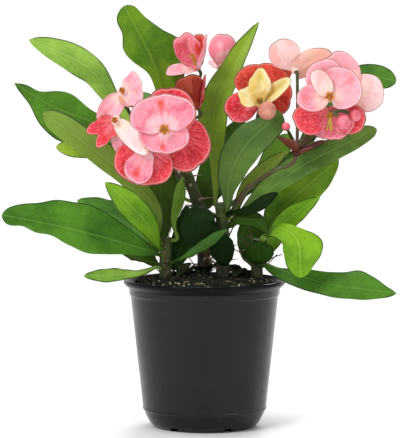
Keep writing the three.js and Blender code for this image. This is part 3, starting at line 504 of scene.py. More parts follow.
chips = Piece("bark_chips")
scatter(chips, BARK_CHIPS, loose, (0.8, 2.4), (1.6, 0.8, 0.35), sink=0.2)
for _ in range(FIBRES):
    x, y = loose.spread(-FIBRE_REACH, FIBRE_REACH), loose.spread(-FIBRE_REACH, FIBRE_REACH)
    length, heading = loose.spread(*FIBRE_LENGTH), loose.heading()
    ahead = np.array([math.cos(heading), math.sin(heading), loose.spread(-0.1, 0.25)])
    across = np.array([-math.sin(heading), math.cos(heading), 0])
    middle = np.array([x, y, float(soil_height(x, y)) + 0.5])
    ends = [middle + s * ahead * length for s in (-1, 1)]
    corners = [
        end + across * u * FIBRE_HALF + np.array([0, 0, w * FIBRE_HALF])
        for end in ends
        for u in (-1, 1)
        for w in (-1, 1)
    ]
    chips.add(corners, BOX_FACES)
chips = chips.make([bark.material], crease=40)
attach(chips, "root")

grains = Piece("perlite_grains")
scatter(grains, PERLITE, loose, (0.25, 0.8), (1, 1, 0.85), sink=0.3, inner=PERLITE_INNER)
grains = grains.make([perlite.material], crease=40)
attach(grains, "root")

# ---------------------------------------------------------------- stems
# Four woody stems, cut back once and grown on, with grey-brown bark over green and
# pairs of stiff spines on a spiral. They stand in the peat and carry all the rest.
STEM_FOOT = [66.3, 84, 101.6]  # heights of the straight part in the soil
STEM_SIDES = 28
STEM_STEPS = 120
BARK_NODE_PITCH = 6.5  # height from one leaf scar to the next
BARK_NODE_START = 3
BARK_SWELL = 0.22
BARK_SWELL_REACH = 1.1
BARK_RIDGES = 0.14
BARK_FLUTES = 0.09
BARK_SKIN = 0.97  # share of the stem's radius that the bark's hollows reach
STEMS = dict(
    left=dict(foot=[-26, -4], path=[[-26, -4, 112], [-25, -4, 127]], radius=[4.6, 3.8]),
    middle=dict(foot=[0, 14], path=[[-1, 14, 122], [-4, 12, 146], [-13, 8, 171]], radius=[4.9, 3.8]),
    centre=dict(foot=[12, -6], path=[[12, -6, 118], [12, -5, 134], [11, -6, 150]], radius=[4.9, 4.2]),
    right=dict(foot=[35, 3], path=[[35, 3, 112], [36, 2, 125]], radius=[4.6, 3.8]),
)


def smooth(t, start, end, leave, arrive):
    """The smooth line from start to end, at t from 0 to 1, with its slopes at both."""
    return (
        (2 * t ** 3 - 3 * t ** 2 + 1) * start + (t ** 3 - 2 * t ** 2 + t) * leave
        + (3 * t ** 2 - 2 * t ** 3) * end + (t ** 3 - t ** 2) * arrive
    )


class Route:
    """A smooth line through points, measured along its length from 0 to 1."""

    def __init__(self, points, fine=60):
        points = np.array(points, float)
        points = np.vstack([2 * points[0] - points[1], points, 2 * points[-1] - points[-2]])
        t = np.linspace(0, 1, fine, endpoint=False)[:, None]
        pieces = []
        for before, start, end, after in zip(points, points[1:], points[2:], points[3:]):
            pieces.append(smooth(t, start, end, (end - before) / 2, (after - start) / 2))
        self.line = np.vstack(pieces + [points[-2:-1]])
        gone = np.concatenate([[0], np.cumsum(np.linalg.norm(np.diff(self.line, axis=0), axis=1))])
        self.length = gone[-1]
        self.share = gone / self.length

    def at(self, share):
        """The place at a share of the length."""
        return np.stack([np.interp(share, self.share, self.line[:, k]) for k in range(3)], -1)

    def along(self, share):
        """The way that the line runs at a share of the length."""
        share = np.asarray(share, float)
        way = self.at(np.minimum(share + 0.004, 1)) - self.at(np.maximum(share - 0.004, 0))
        return unit(way)


def unit(vectors):
    """The vectors, each made 1 long."""
    return vectors / np.maximum(np.linalg.norm(vectors, axis=-1, keepdims=True), 1e-9)


def tube(route, radius_at, sides, steps):
    """Points and faces of a closed tube, and each point's share of the length."""
    shares = np.linspace(0, 1, steps + 1)
    centres, ways = route.at(shares), route.along(shares)
    side_way = unit(np.cross(ways[0], [0.31, 0.17, -0.93] if abs(ways[0][2]) < 0.8 else [1, 0.2, 0]))
    angles = np.linspace(0, 2 * math.pi, sides, endpoint=False)
    rows = []
    for centre, way, share in zip(centres, ways, shares):
        side_way = unit(side_way - way * (side_way @ way))
        other = np.cross(way, side_way)
        radii = radius_at(share, angles) * np.ones(sides)
        ring = np.cos(angles)[:, None] * side_way + np.sin(angles)[:, None] * other
        rows.append(centre + ring * radii[:, None])
    points = np.vstack(rows + [centres[:1], centres[-1:]])
    faces = []
    first, last = (steps + 1) * sides, (steps + 1) * sides + 1
    for side in range(sides):
        after = (side + 1) % sides
        for step in range(steps):
            a = step * sides
            faces.append((a + side, a + after, a + sides + after, a + sides + side))
        faces.append((first, after, side))
        faces.append((last, steps * sides + side, steps * sides + after))
    along = np.concatenate([np.repeat(shares, sides), [0, 1]])
    return points, faces, along


def stem_at(stem, height):
    """The middle, the way and the radius of a stem at a height."""
    route = stem["route"]
    share = np.interp(height, route.line[:, 2], route.share)
    radius = stem["radius"][0] + (stem["radius"][1] - stem["radius"][0]) * share
    return route.at(share), route.along(share), radius


def root_on(stem, height, towards):
    """A place on a stem's bark, on the side that looks towards a point."""
    centre, way, radius = stem_at(stem, height)
    out = unit((np.array(towards, float) - centre) * (1, 1, 0))
    return centre, out, radius / math.sqrt(1 - (out @ way) ** 2)


def bark_radius(stem, share, angles, seed):
    """The stem's radius, swollen at its leaf scars and uneven between them."""
    radius = stem["radius"][0] + (stem["radius"][1] - stem["radius"][0]) * share
    height = share * stem["route"].length
    above_scar = height % BARK_NODE_PITCH - BARK_NODE_START
    swell = BARK_SWELL * math.exp(-(above_scar / BARK_SWELL_REACH) ** 2)
    ridges = BARK_RIDGES * np.sin(5 * angles + 0.16 * height + seed)
    return radius * BARK_SKIN + swell + (ridges + BARK_FLUTES * np.sin(9 * angles - 0.5 * height))


for stem in STEMS.values():
    x, y = stem["foot"]
    stem["route"] = Route([(x, y, z) for z in STEM_FOOT] + stem["path"])

wood = Finish("thorny_bark", Specular_IOR_Level=0.35)
mottle = wood.noise(4.5, 4, 0.6)
fissure = wood.noise(1.3, 4, 0.6, stretch=(1, 1, 0.3))
young = wood.value("young")
old_bark = wood.mix(paint("#1c170e"), paint("#453c2a"), mottle.between(0.3, 0.75))
green_bark = wood.mix(paint("#263414"), paint("#4c5a28"), mottle)
bark_color = wood.mix(old_bark, green_bark, (young + mottle * 0.5 - 0.25).between(0.35, 0.9))
wood.color(wood.mix(bark_color, paint("#15100a"), (1 - fissure).between(0.55, 0.8) * 0.7))
wood.roughness(0.62 + fissure * 0.25)
wood.relief(fissure + mottle * 0.5, 0.5)

for number, (name, stem) in enumerate(STEMS.items()):
    route = stem["route"]
    points, faces, along = tube(
        route, lambda share, angles: bark_radius(stem, share, angles, number), STEM_SIDES, STEM_STEPS
    )
    trunk = Piece(f"{name}_stem_bark")
    trunk.add(points, faces, young=along)
    trunk = trunk.make([wood.material], crease=70)
    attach(trunk, "root")
    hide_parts(f"stem_{name}")

# ---------------------------------------------------------------- leaves
# Oblong leaves, widest past their middle, each on a short stalk from the bark. The
# blade is thin and satin, with a pale midrib and a waved margin, paler underneath.
LEAF_ROWS = 52
LEAF_COLUMNS = 20
SEAT = 0.3  # what a piece keeps clear of the one that it grows from
PETIOLE = 1.2  # half the thickness of a leaf's stalk
LEAF_EDGE = 0.3  # thickness at the margin
LEAF_RIB = 1.3  # thickness at the midrib, at the foot
LEAF_SUNK = 1.6  # how far the stalk's foot is grown into the bark
LEAF_TIP_ROUND = 0.07  # share of the length over which the tip is rounded off
TIP_CROWDING = 1.4  # how much closer the rows of points stand at the tip
RIB_CROWDING = 1.15  # how much closer the columns stand at the midrib
FULLNESS = 0.8
CRIMP = 0.28  # height of the fine waves at the margin
CRIMP_PITCH = 2.7  # how many of them stand on one wave of the ripple
GROOVE = 0.35  # depth of the groove over the midrib
GROOVE_WIDTH = 0.9
MARGIN_WAVE = 0.035  # share of the width by which the margin runs in and out
LEAF_TONES = {
    "deep": dict(
        face="#143008", light="#265016", back="#24421a", rib="#34582a", edge="#081804", gloss=0.05,
    ),
    "green": dict(
        face="#2c5810", light="#508420", back="#527e32", rib="#64903c", edge="#12280a", gloss=0.16,
    ),
    "mid": dict(
        face="#3e5e20", light="#668834", back="#66864a", rib="#789850", edge="#182e0e", gloss=0.16,
    ),
    "bright": dict(
        face="#38660c", light="#74981a", back="#6a9234", rib="#7a9e38", edge="#183608", gloss=0.16,
    ),
    "fresh": dict(
        face="#4c7c0a", light="#82b020", back="#7ca438", rib="#8eb444", edge="#204408", gloss=0.16,
    ),
    "light": dict(
        face="#5a842a", light="#96bc4c", back="#88a85a", rib="#9cbc68", edge="#28420e", gloss=0.16,
    ),
}
LEAF_PAINTED_LIGHT = "#b4cc48"  # painted light: the colour a leaf is mixed towards where its shade is above 0
PETIOLE_CLEAR = 2  # keeps the dark line off the stalk
LEAF_HEM = 1.0  # width of the dark line along the margin
# A leaf's row gives the stem and the height it grows at, its tone, how much painted light
# (above 0) or painted shade (below 0) its colour takes (shade), its midrib (path), the way
# its face looks, at its foot and, where it twists, at its tip (turned), its half widths from
# foot to tip (left and right, or half for both) or its width and where that is (peak), the
# ripple of its margin with the number of waves and where they start (phase), and its fold
# in degrees.
LEAVES = {
    "top_left_lobed": dict(
        stem="middle", at=168, tone="bright",
        path=[[-25, 6, 205], [-33, 2, 240], [-53, -2, 280.5]], face=[0.1, -1, 0.1],
        left=[1.2, 2, 2.6, 3.2, 4, 5.5, 12, 14, 10, 9.2, 5.5],
        right=[1.2, 2.5, 5, 9, 14, 20, 23, 15, 9.8, 7, 4.5], ripple=1.5, phase=1,
    ),
    "left_arched": dict(
        stem="middle", at=163, tone="light",
        path=[[-38, 18, 187], [-64, 20, 221], [-80, 14, 241], [-117, 8, 258]], face=[-0.3, -1, 0.2],
        left=[1.2, 1.8, 2.6, 4, 7.3, 9.4, 8, 5, 1.2], right=[1.2, 1.8, 2.6, 4, 8, 9.6, 9.2, 6.4, 1.6],
        ripple=1, fold=6,
    ),
    "left_pointed": dict(
        stem="middle", at=158, tone="green", shade=0.03,
        path=[[-44, 24, 184], [-72, 26, 201], [-102, 24, 213], [-128, 20, 229]], face=[-0.2, -1, 0.3],
        left=[1.2, 2, 3.5, 6, 10, 16, 19.5, 15.5, 7.5, 3.8, 0.6],
        right=[1.2, 2, 3, 4.5, 5.5, 7.5, 12.8, 10.8, 4.6, 3.4, 0.6], ripple=1.2, phase=2,
    ),
    "left_upper": dict(
        stem="left", at=123, tone="mid", shade=0.16,
        path=[[-32, -10, 145], [-49, -12, 166], [-71, -15, 184], [-106, -18, 210]], face=[-0.2, -1, 0.3],
        left=[1.2, 3.5, 6, 7.2, 7.6, 7.6, 7.4, 6.6, 3.5],
        right=[1.2, 3.5, 6.5, 8.5, 9.5, 9.6, 9.2, 7.6, 3.5], ripple=1.2, phase=3, fold=14,
    ),
    "left_young": dict(
        stem="middle", at=150, tone="fresh", shade=0.5,
        path=[[-30, 15, 162], [-66, 5, 183], [-99, -3, 187]], face=[0, -1, 0.2],
        width=12, peak=0.84, ripple=0.5,
    ),
    "left_inner": dict(
        stem="left", at=122, tone="deep", shade=0.07,
        path=[[-29, 2, 146], [-30, 2, 166], [-35, 1, 187]], face=[0, -1, 0.2],
        width=20, peak=0.55, ripple=1, phase=1,
    ),
    "left_long": dict(
        stem="left", at=115, tone="green",
        path=[[-42, -20, 121], [-76, -36, 132], [-103, -44, 139], [-131, -50, 145]], face=[0, -0.9, 0.5],
        left=[1.2, 4, 8, 11.5, 13.5, 11, 8, 8, 5, 6, 4],
        right=[1.2, 6, 11.5, 17, 20, 20.5, 18, 13.5, 11, 8, 3.5], ripple=1.2, waves=2.5, phase=1,
    ),
    "left_behind": dict(
        stem="left", at=118, tone="green", shade=-0.05,
        path=[[-54, 12, 136], [-86, 22, 150]], face=[0, -0.9, 0.5],
        width=20, peak=0.62, ripple=1, phase=2,
    ),
    "left_under": dict(
        stem="left", at=109, tone="deep", shade=0.07,
        path=[[-40, -6, 115], [-58, -3, 119]], face=[0, -0.8, 0.6],
        width=10.5, peak=0.5, ripple=0.6, phase=1,
    ),
    "left_bright": dict(
        stem="left", at=120, tone="fresh", shade=-0.1,
        path=[[-38, -18, 137], [-51, -26, 152], [-65, -30, 165]], face=[-0.2, -1, 0.2],
        width=16, peak=0.58, ripple=0.8, phase=2, fold=12,
    ),
    "left_pale_tip": dict(
        stem="left", at=122, tone="light", path=[[-34, -8, 136], [-37.5, -9, 153]], face=[0.2, -1, 0],
        width=7, peak=0.7, ripple=0.4, waves=1,
    ),
    "left_low": dict(
        stem="left", at=106, tone="light",
        path=[[-43, -20, 104.6], [-60, -30, 104.2], [-79, -36, 104]], face=[0, -0.8, 0.6],
        width=9, peak=0.72, ripple=0.5,
    ),
    "left_upright": dict(
        stem="left", at=125, tone="green", shade=0.15,
        path=[[-20, -6, 138], [-16, -6, 153], [-14.5, -8, 167]], face=[-0.5, -1, 0],
        width=9.5, peak=0.72, ripple=0.3, fold=30,
    ),
    "front_folded": dict(
        stem="left", at=109, tone="green", shade=-0.4,
        path=[[-12, -20, 115], [1, -26, 122], [15, -30, 134]], face=[-0.2, -0.7, 0.7],
        width=10, peak=0.7, ripple=0.5, fold=32,
    ),
    "front_round": dict(
        stem="centre", at=140, tone="deep", shade=-0.85,
        path=[[3, -16.5, 145.5], [-2, -19.8, 141], [-3.6, -20.3, 131], [-2.6, -19.4, 120.5]],
        face=[0, -0.3, 1], turned=[0, -1, 0],
        width=24, peak=0.64, ripple=0.8, phase=2,
    ),
    "top_tall": dict(
        stem="centre", at=147, tone="bright", shade=0.2,
        path=[[8, 0, 178], [7, -3, 212], [20, -2, 243], [36, 0, 270]], face=[-0.3, -1, 0.1],
        half=[1.2, 3.5, 6.5, 10.5, 10, 7.6, 5.8, 3.2, 0.6], ripple=1.2, phase=1, fold=16,
    ),
    "centre_broad": dict(
        stem="centre", at=145, tone="mid", shade=-0.35,
        path=[[17, -17, 168], [27, -23, 189], [50, -28, 210.5]], face=[-0.1, -1, 0.3],
        left=[1.2, 4, 9, 11.5, 12.5, 10.5, 7.5, 5.8, 3.4], right=[1.2, 3.6, 8, 10.5, 12, 12, 11, 9.5, 5],
        ripple=1,
    ),
    "centre_narrow": dict(
        stem="centre", at=139, tone="mid", shade=0.33,
        path=[[26, -5, 158], [39, -3, 171], [55, 1, 184]], face=[-0.3, -1, 0.3],
        width=9.5, peak=0.65, ripple=0.4, fold=15,
    ),
    "right_large": dict(
        stem="centre", at=136, tone="mid",
        path=[[39, -14, 156], [64, -20, 175], [91, -22, 189], [113, -20, 199.5]], face=[0.2, -1, 0.3],
        left=[1.2, 4.5, 8.5, 9.5, 8.5, 8, 7.5, 6, 2.8], right=[1.2, 3, 5, 6.5, 7.2, 7.2, 6.6, 5.2, 2.4],
        ripple=1, phase=1, fold=6,
    ),
    "right_broad": dict(
        stem="right", at=119, tone="bright",
        path=[[48, 4, 141], [66, -3, 159], [89, -6, 179]], face=[0.1, -1, 0.2],
        left=[1.2, 4, 9, 12, 13, 12.4, 10, 6, 1], right=[1.2, 4, 8.5, 11.5, 12, 10.8, 8.4, 5, 1],
        ripple=1.2, phase=2,
    ),
    "right_bright": dict(
        stem="right", at=116, tone="fresh", path=[[53, -6, 137], [76, -18, 155]], face=[0.3, -1, 0.2],
        width=13, peak=0.5, ripple=0.5, fold=18,
    ),
    "right_hanging": dict(
        stem="right", at=122, tone="fresh",
        path=[[42, -15, 132.5], [52, -27, 134], [61, -34, 126], [63, -36, 103]], face=[0, -0.4, 1],
        turned=[0, -1, 0],
        left=[1.2, 1.8, 3, 4, 5, 8, 16, 14, 9.6, 6.2, 3.4],
        right=[1.2, 4, 7, 9, 9.5, 10, 10.5, 10.5, 9.5, 7, 3.5], ripple=0.8, phase=1,
    ),
    "right_low": dict(
        stem="right", at=107, tone="green", shade=-0.05,
        path=[[53, -12, 105], [83, -22, 97], [104, -26, 94.5], [126, -26, 91.5]], face=[0, -0.85, 0.6],
        left=[1.2, 1.6, 5.5, 8, 11.4, 13.5, 10, 4.5, 1], right=[1.2, 6.5, 8.2, 9.3, 9.3, 8.3, 6.5, 4.2, 1],
        ripple=1, phase=1,
    ),
    "top_right": dict(
        stem="centre", at=148, tone="green",
        path=[[64, 16, 184], [82, 24, 219], [106, 24, 233], [129, 20, 230.5]], face=[0, -1, 0.4],
        half=[1.2, 2, 3, 4.5, 6, 7.5, 8.8, 8.4, 4.5], ripple=0.8,
    ),
    "centre_curled": dict(
        stem="centre", at=134, tone="deep", shade=0.03,
        path=[[24, -18, 140], [34, -24, 139], [42, -27, 131]], face=[0, -0.8, 0.6],
        width=11, peak=0.55, ripple=0.5, waves=1, fold=10,
    ),
    "centre_dark": dict(
        stem="centre", at=142, tone="deep", shade=-0.85,
        path=[[31, -24, 147], [48, -29, 158]], face=[-0.3, -0.9, 0.5],
        width=8, peak=0.7, ripple=0.4, waves=1, fold=12,
    ),
    "base_centre": dict(
        stem="centre", at=109, tone="deep", shade=-0.75,
        path=[[12, -15, 117], [10, -17, 132]], face=[-0.1, -1, 0],
        width=15, peak=0.55, ripple=0.6, waves=1,
    ),
    "base_right": dict(
        stem="right", at=109, tone="deep", shade=0.02,
        path=[[36, -8, 115], [36, -12, 125]], face=[0.1, -1, 0],
        width=19, peak=0.55, ripple=0.6, waves=1, phase=1,
    ),
    "back_left": dict(
        stem="left", at=117, tone="green", path=[[-31, 34, 130], [-40, 76, 127]], face=[0, -0.2, 1],
        width=19, peak=0.66, ripple=1.2,
    ),
    "back_upper_left": dict(
        stem="middle", at=166, tone="green", path=[[-22, 42, 195], [-42, 70, 222]], face=[-0.1, -0.8, 1],
        width=20, peak=0.62, ripple=1.2, phase=1,
    ),
    "back_middle": dict(
        stem="middle", at=145, tone="deep", shade=0.04,
        path=[[3, 24, 156], [12, 38, 178], [27, 54, 206]], face=[0.1, -1, 0.5],
        width=23, peak=0.46, ripple=1.2, phase=2,
    ),
    "back_lower_left": dict(
        stem="left", at=106, tone="deep",
        path=[[-18, 3, 114], [-12.5, 3.5, 128], [-12, 2.5, 148]], face=[0, -1, 0.1],
        width=16, peak=0.5, ripple=1.2, phase=3,
    ),
    "back_right": dict(
        stem="centre", at=138, tone="green", shade=0.1,
        path=[[29, 20, 159], [44, 36, 174], [58, 50, 194]], face=[0.1, -1, 0.3],
        width=15, peak=0.8, ripple=0.8, phase=1,
    ),
    "back_low_right": dict(
        stem="right", at=107, tone="deep", shade=0.03,
        path=[[33, 16, 112], [31.5, 26, 124], [28, 36, 140]], face=[0, -1, 0.3],
        width=18, peak=0.5, ripple=1.2,
    ),
}


def station(fraction):
    """The share of the midrib at which a row of points stands."""
    return (fraction + np.sin(fraction * math.pi / 2)) / 2


def eased(values, fraction):
    """A smooth line through evenly spaced values."""
    values = np.array(values, float)
    count = len(values) - 1
    padded = np.concatenate([[2 * values[0] - values[1]], values, [2 * values[-1] - values[-2]]])
    place = np.clip(fraction * count, 0, count - 1e-9)
    step = place.astype(int)
    t = place - step
    before, start, end, after = (padded[step + k] for k in range(4))
    return smooth(t, start, end, (end - before) / 2, (after - start) / 2)


def half_width(leaf, side, fraction):
    """How far the blade reaches out from the midrib, on one side."""
    scallop = 1 + MARGIN_WAVE * np.sin(21 * fraction + 2 * side + leaf["at"]) * np.sin(8 * fraction)
    listed = leaf.get("half") or leaf.get("left" if side < 0 else "right")
    if listed:
        width = eased(listed, fraction)
    else:
        t = station(fraction)
        bulge = np.sin(math.pi * t ** (math.log(0.5) / math.log(leaf["peak"])))
        width = PETIOLE * (1 - t) + 0.5 * t + leaf["width"] / 2 * np.maximum(bulge, 0) ** FULLNESS
    over = np.clip((fraction - 1 + LEAF_TIP_ROUND) / LEAF_TIP_ROUND, 0, 1)
    round_tip = np.sqrt(np.maximum(1 - over ** 2, 0.0004))
    return scallop * np.maximum(width, 0.25) * round_tip


def midrib(leaf):
    """The line of a leaf's midrib, from inside the bark to the tip."""
    centre, out, radius = root_on(STEMS[leaf["stem"]], leaf["at"], leaf["path"][0])
    root = centre + out * (radius + SEAT + PETIOLE / 2)
    bend = root + out * 3 + np.array([0, 0, 1.5])
    return Route([root] + [bend] + leaf["path"]), centre + out * (radius - LEAF_SUNK)


def two_faced(piece, grid, thickness, finish=0, **values):
    """Adds a sheet with its two faces and its rim. grid is rows of columns of points."""
    rows, columns = grid.shape[:2]
    along = np.gradient(grid, axis=0)
    across = np.gradient(grid, axis=1)
    normals = unit(np.cross(across, along))
    half = thickness[..., None] / 2
    points = np.vstack([(grid + normals * half).reshape(-1, 3), (grid - normals * half).reshape(-1, 3)])
    back = rows * columns
    front_faces, back_faces = [], []
    for r in range(rows - 1):
        for c in range(columns - 1):
            a = r * columns + c
            front_faces.append((a, a + 1, a + columns + 1, a + columns))
            back_faces.append((back + a, back + a + columns, back + a + columns + 1, back + a + 1))
    border = (
        [(c, c + 1) for c in range(columns - 1)]
        + [(r * columns + columns - 1, (r + 1) * columns + columns - 1) for r in range(rows - 1)]
        + [((rows - 1) * columns + c + 1, (rows - 1) * columns + c) for c in range(columns - 1)]
        + [((r + 1) * columns, r * columns) for r in range(rows - 1)]
    )
    rim = [(start, back + start, back + end, end) for start, end in border]
    doubled = {name: np.concatenate([v.ravel(), v.ravel()]) for name, v in values.items()}
    doubled["under"] = np.concatenate([np.zeros(back), np.ones(back)])
    piece.add(points, front_faces + back_faces + rim, finish, **doubled)


def leaf_finish(tone, colors):
    """A leaf's skin: cloudy greens, a pale midrib, faint side veins and a dark margin."""
    skin = Finish(f"{tone}_leaf", Specular_IOR_Level=colors["gloss"])
    reach, along, side = skin.value("reach"), skin.value("along"), skin.value("side")
    under, inward, shade = skin.value("under"), skin.value("inward"), skin.value("shade")
    cloud = skin.noise(30, 2).between(0.32, 0.68)
    blotch = skin.noise(6, 4, 0.6).between(0.35, 0.7)
    fleck = skin.noise(1.6, 4, 0.7)
    rib = 1 - reach.between(0.15, 0.6)
    wave = skin.node("ShaderNodeMath", {"operation": "SINE"}, {0: along * 105 + side * 9 + cloud * 3})
    vein = wave.between(0.7, 1.0) * reach.between(0.4, 2.0) * blotch
    clouds = cloud * 0.6 + blotch * 0.2 + fleck.between(0.35, 0.65) * 0.15 + 0.02
    light, pale, edge = (paint(colors[key]) for key in ("light", "rib", "edge"))
    face = skin.mix(paint(colors["face"]), light, clouds)
    # painted shade: the blade is darker towards its foot
    face = skin.mix(face, edge, (1 - along.between(0, 0.45)) * 0.55)
    # painted shade: a darker band on both sides of the midrib, along its groove
    rib_groove_shade = (1 - side.between(0.02, 0.3)) * reach.between(0.6, 1.5)
    face = skin.mix(face, edge, rib_groove_shade * 0.25)
    face = skin.mix(face, pale, vein * 0.12 + rib * 0.4)
    back = skin.mix(paint(colors["back"]), light, cloud * 0.4 + vein * 0.25)
    back = skin.mix(back, pale, rib * 0.6)
    whole = skin.mix(face, back, under)
    # painted light and shade: a leaf's shade above 0 paints it lighter, below 0 darker
    whole = skin.mix(whole, paint(LEAF_PAINTED_LIGHT), shade)
    whole = skin.mix(whole, edge, 0 - shade)
    hem = 1 - inward.between(LEAF_HEM * 0.45, LEAF_HEM)
    skin.color(skin.mix(whole, edge, hem * 0.85))
    skin.roughness(0.42 + under * 0.2 + blotch * 0.1)
    skin.relief(vein * -0.4 + fleck * 0.2 + blotch * 0.3, 0.35)
    return skin.material


def blade_sheet(leaf, route, foot):
    """A leaf's rows of points, their thickness, and the values that its skin goes by."""
    fraction = 1 - (1 - np.linspace(0, 1, LEAF_ROWS)) ** TIP_CROWDING
    t = station(fraction)
    centres, ways = route.at(t), route.along(t)
    face = np.array(leaf["face"], float)
    turned = np.array(leaf.get("turned", leaf["face"]), float)
    up = face + (turned - face) * t[:, None]
    up = unit(up - ways * np.sum(up * ways, -1, keepdims=True))
    across = np.cross(ways, up)
    fold = math.radians(leaf.get("fold", 0))
    u = np.linspace(-1, 1, LEAF_COLUMNS + 1)
    u = np.sign(u) * np.abs(u) ** RIB_CROWDING
    left, right = half_width(leaf, -1, fraction), half_width(leaf, 1, fraction)
    reach = np.abs(u) * np.where(u < 0, left[:, None], right[:, None])
    swing = 2 * math.pi * leaf.get("waves", 2) * t[:, None] + leaf.get("phase", 0)
    swing = swing + np.where(u < 0, math.pi / 2, 0)
    calm = np.minimum(1, 4 * t * (1 - t))[:, None]
    lift = reach * math.sin(fold) + leaf["ripple"] * u ** 2 * np.sin(swing) * calm
    lift = lift + CRIMP * np.abs(u) ** 3 * np.sin(CRIMP_PITCH * swing + leaf["at"]) * calm
    lift = lift - GROOVE * np.exp(-(reach / GROOVE_WIDTH) ** 2) * calm
    grid = (
        centres[:, None] + across[:, None] * (np.sign(u) * reach * math.cos(fold))[..., None]
        + up[:, None] * lift[..., None]
    )
    rib = LEAF_RIB * (1 - 0.5 * t)[:, None]
    thickness = LEAF_EDGE + (rib - LEAF_EDGE) * np.exp(-(reach / 1.0) ** 2)
    root_row = grid[:1] + (foot - centres[0])
    grid = np.concatenate([root_row, grid])
    thickness = np.concatenate([thickness[:1] * 1.5, thickness])
    reach = np.concatenate([reach[:1], reach])
    widest = reach.max(1, keepdims=True)
    inward = widest - reach + PETIOLE_CLEAR * (widest < PETIOLE + 0.4)
    values = dict(
        reach=reach,
        along=np.repeat(np.concatenate([[0], t])[:, None], len(u), 1),
        side=np.repeat(np.abs(u)[None], len(reach), 0),
        inward=inward,
        shade=np.full(reach.shape, leaf.get("shade", 0.0)),
    )
    return grid, thickness, values


LEAF_SKINS = {tone: leaf_finish(tone, colors) for tone, colors in LEAF_TONES.items()}

for name, leaf in LEAVES.items():
    leaf["route"], foot = midrib(leaf)
    grid, thickness, values = blade_sheet(leaf, leaf["route"], foot)
    blade = Piece(f"{name}_leaf_blade")
    two_faced(blade, grid, thickness, **values)
    blade = blade.make([LEAF_SKINS[leaf["tone"]]], crease=65)
    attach(blade, "root")
    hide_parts(f"leaf_{name}")

# ---------------------------------------------------------------- fallen leaves
# Old leaves that the stems have shed, dried dark and curled, lying heaped between the
# stems' feet where the peat is shaded.
LITTER_SPOTS = [
    (-19, 0), (-16, 5), (-13, 1), (-10, 6), (-7, 2), (-14, -3), (-20, 7), (3, 4), (5, -1),
    (19, 2), (22, 6), (25, 1), (28, 5), (21, -3), (26, -4), (31, 9), (17, 8), (-4, 7),
]
LITTER_LENGTH = (9, 15)
LITTER_SLIM = 0.3  # half the width, as a share of the length
LITTER_RISE = (0.35, 0.75)
LITTER_CURL = (1.2, 3.2)
LITTER_THICK = 0.4
LITTER_SEED = 903
LITTER_ROWS = 14
LITTER_COLUMNS = 8

shed_skin = Finish("shed_leaf", Specular_IOR_Level=0.15)
crisp = shed_skin.noise(4, 4, 0.6)
shed_skin.color(shed_skin.mix(paint("#0e140a"), paint("#2c3416"), crisp.between(0.3, 0.75)))
shed_skin.roughness(0.7 + crisp * 0.2)
shed_skin.relief(crisp, 0.4)

litter = Piece("shed_leaves")
heap = Draw(LITTER_SEED)
for x, y in LITTER_SPOTS:
    length, heading = heap.spread(*LITTER_LENGTH), heap.heading()
    rise, curl = heap.spread(*LITTER_RISE), heap.spread(*LITTER_CURL)
    along = np.linspace(0, 1, LITTER_ROWS)[:, None]
    across = np.linspace(-1, 1, LITTER_COLUMNS)[None]
    width = length * LITTER_SLIM * np.sin(math.pi * np.clip(along, 0.03, 0.97)) ** 0.7
    ahead = (along - 0.5) * length + 0 * across
    aside = width * across
    up = 1.2 + rise * length * along + curl * across ** 2 * np.sin(math.pi * along) - 2 * along ** 2
    grid = np.stack([
        x + ahead * math.cos(heading) - aside * math.sin(heading),
        y + ahead * math.sin(heading) + aside * math.cos(heading),
        float(soil_height(x, y)) + up,
    ], -1)
    two_faced(litter, grid, np.full(grid.shape[:2], LITTER_THICK))
litter = litter.make([shed_skin.material], crease=65)
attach(litter, "root")

# ---------------------------------------------------------------- flower stalks
# Branching green stalks that carry the blooms. Each ends in a small cup with five
# nectar glands round a tuft of stamens; the clusters also hold round closed buds.
TRUNK = 1.5  # radius of a cluster's main stalk
TWIG = 1.15  # radius of a stalk above the fork
THINNING = 0.9  # a stalk's radius at its end, as a share
NECK = 1.2  # radius of a cup's foot
HUB_BELOW = 2.2  # how far the ring that holds the bracts reaches down the neck
HUB_ABOVE = 1.2
CUP_RISE = 3  # height of a cup above its ring, where its bloom gives no other
GLANDS = 5
STALK_LEAD = 7  # length of the straight part behind a bloom
TRUNK_LEAD = 0.9
STALK_SUNK = 2.2  # how far a cluster's stalk is grown into the bark
STALK_SIDES = 18
STAMENS = 9
STAMEN = 0.16  # radius of its thread
ANTHER = (0.42, 0.3, 0.3)  # half sizes of the head on a stamen
STYLE = 0.42  # radius of a hanging style
STYLE_HEAD = (1.9, 1.5, 1.9)  # half sizes of its head, in radii of the style
STALK_SEED = 311
GREEN, CUP, GLAND, STAMEN_RED, BUD_PINK, BUD_BROWN = range(6)  # the order of the finishes
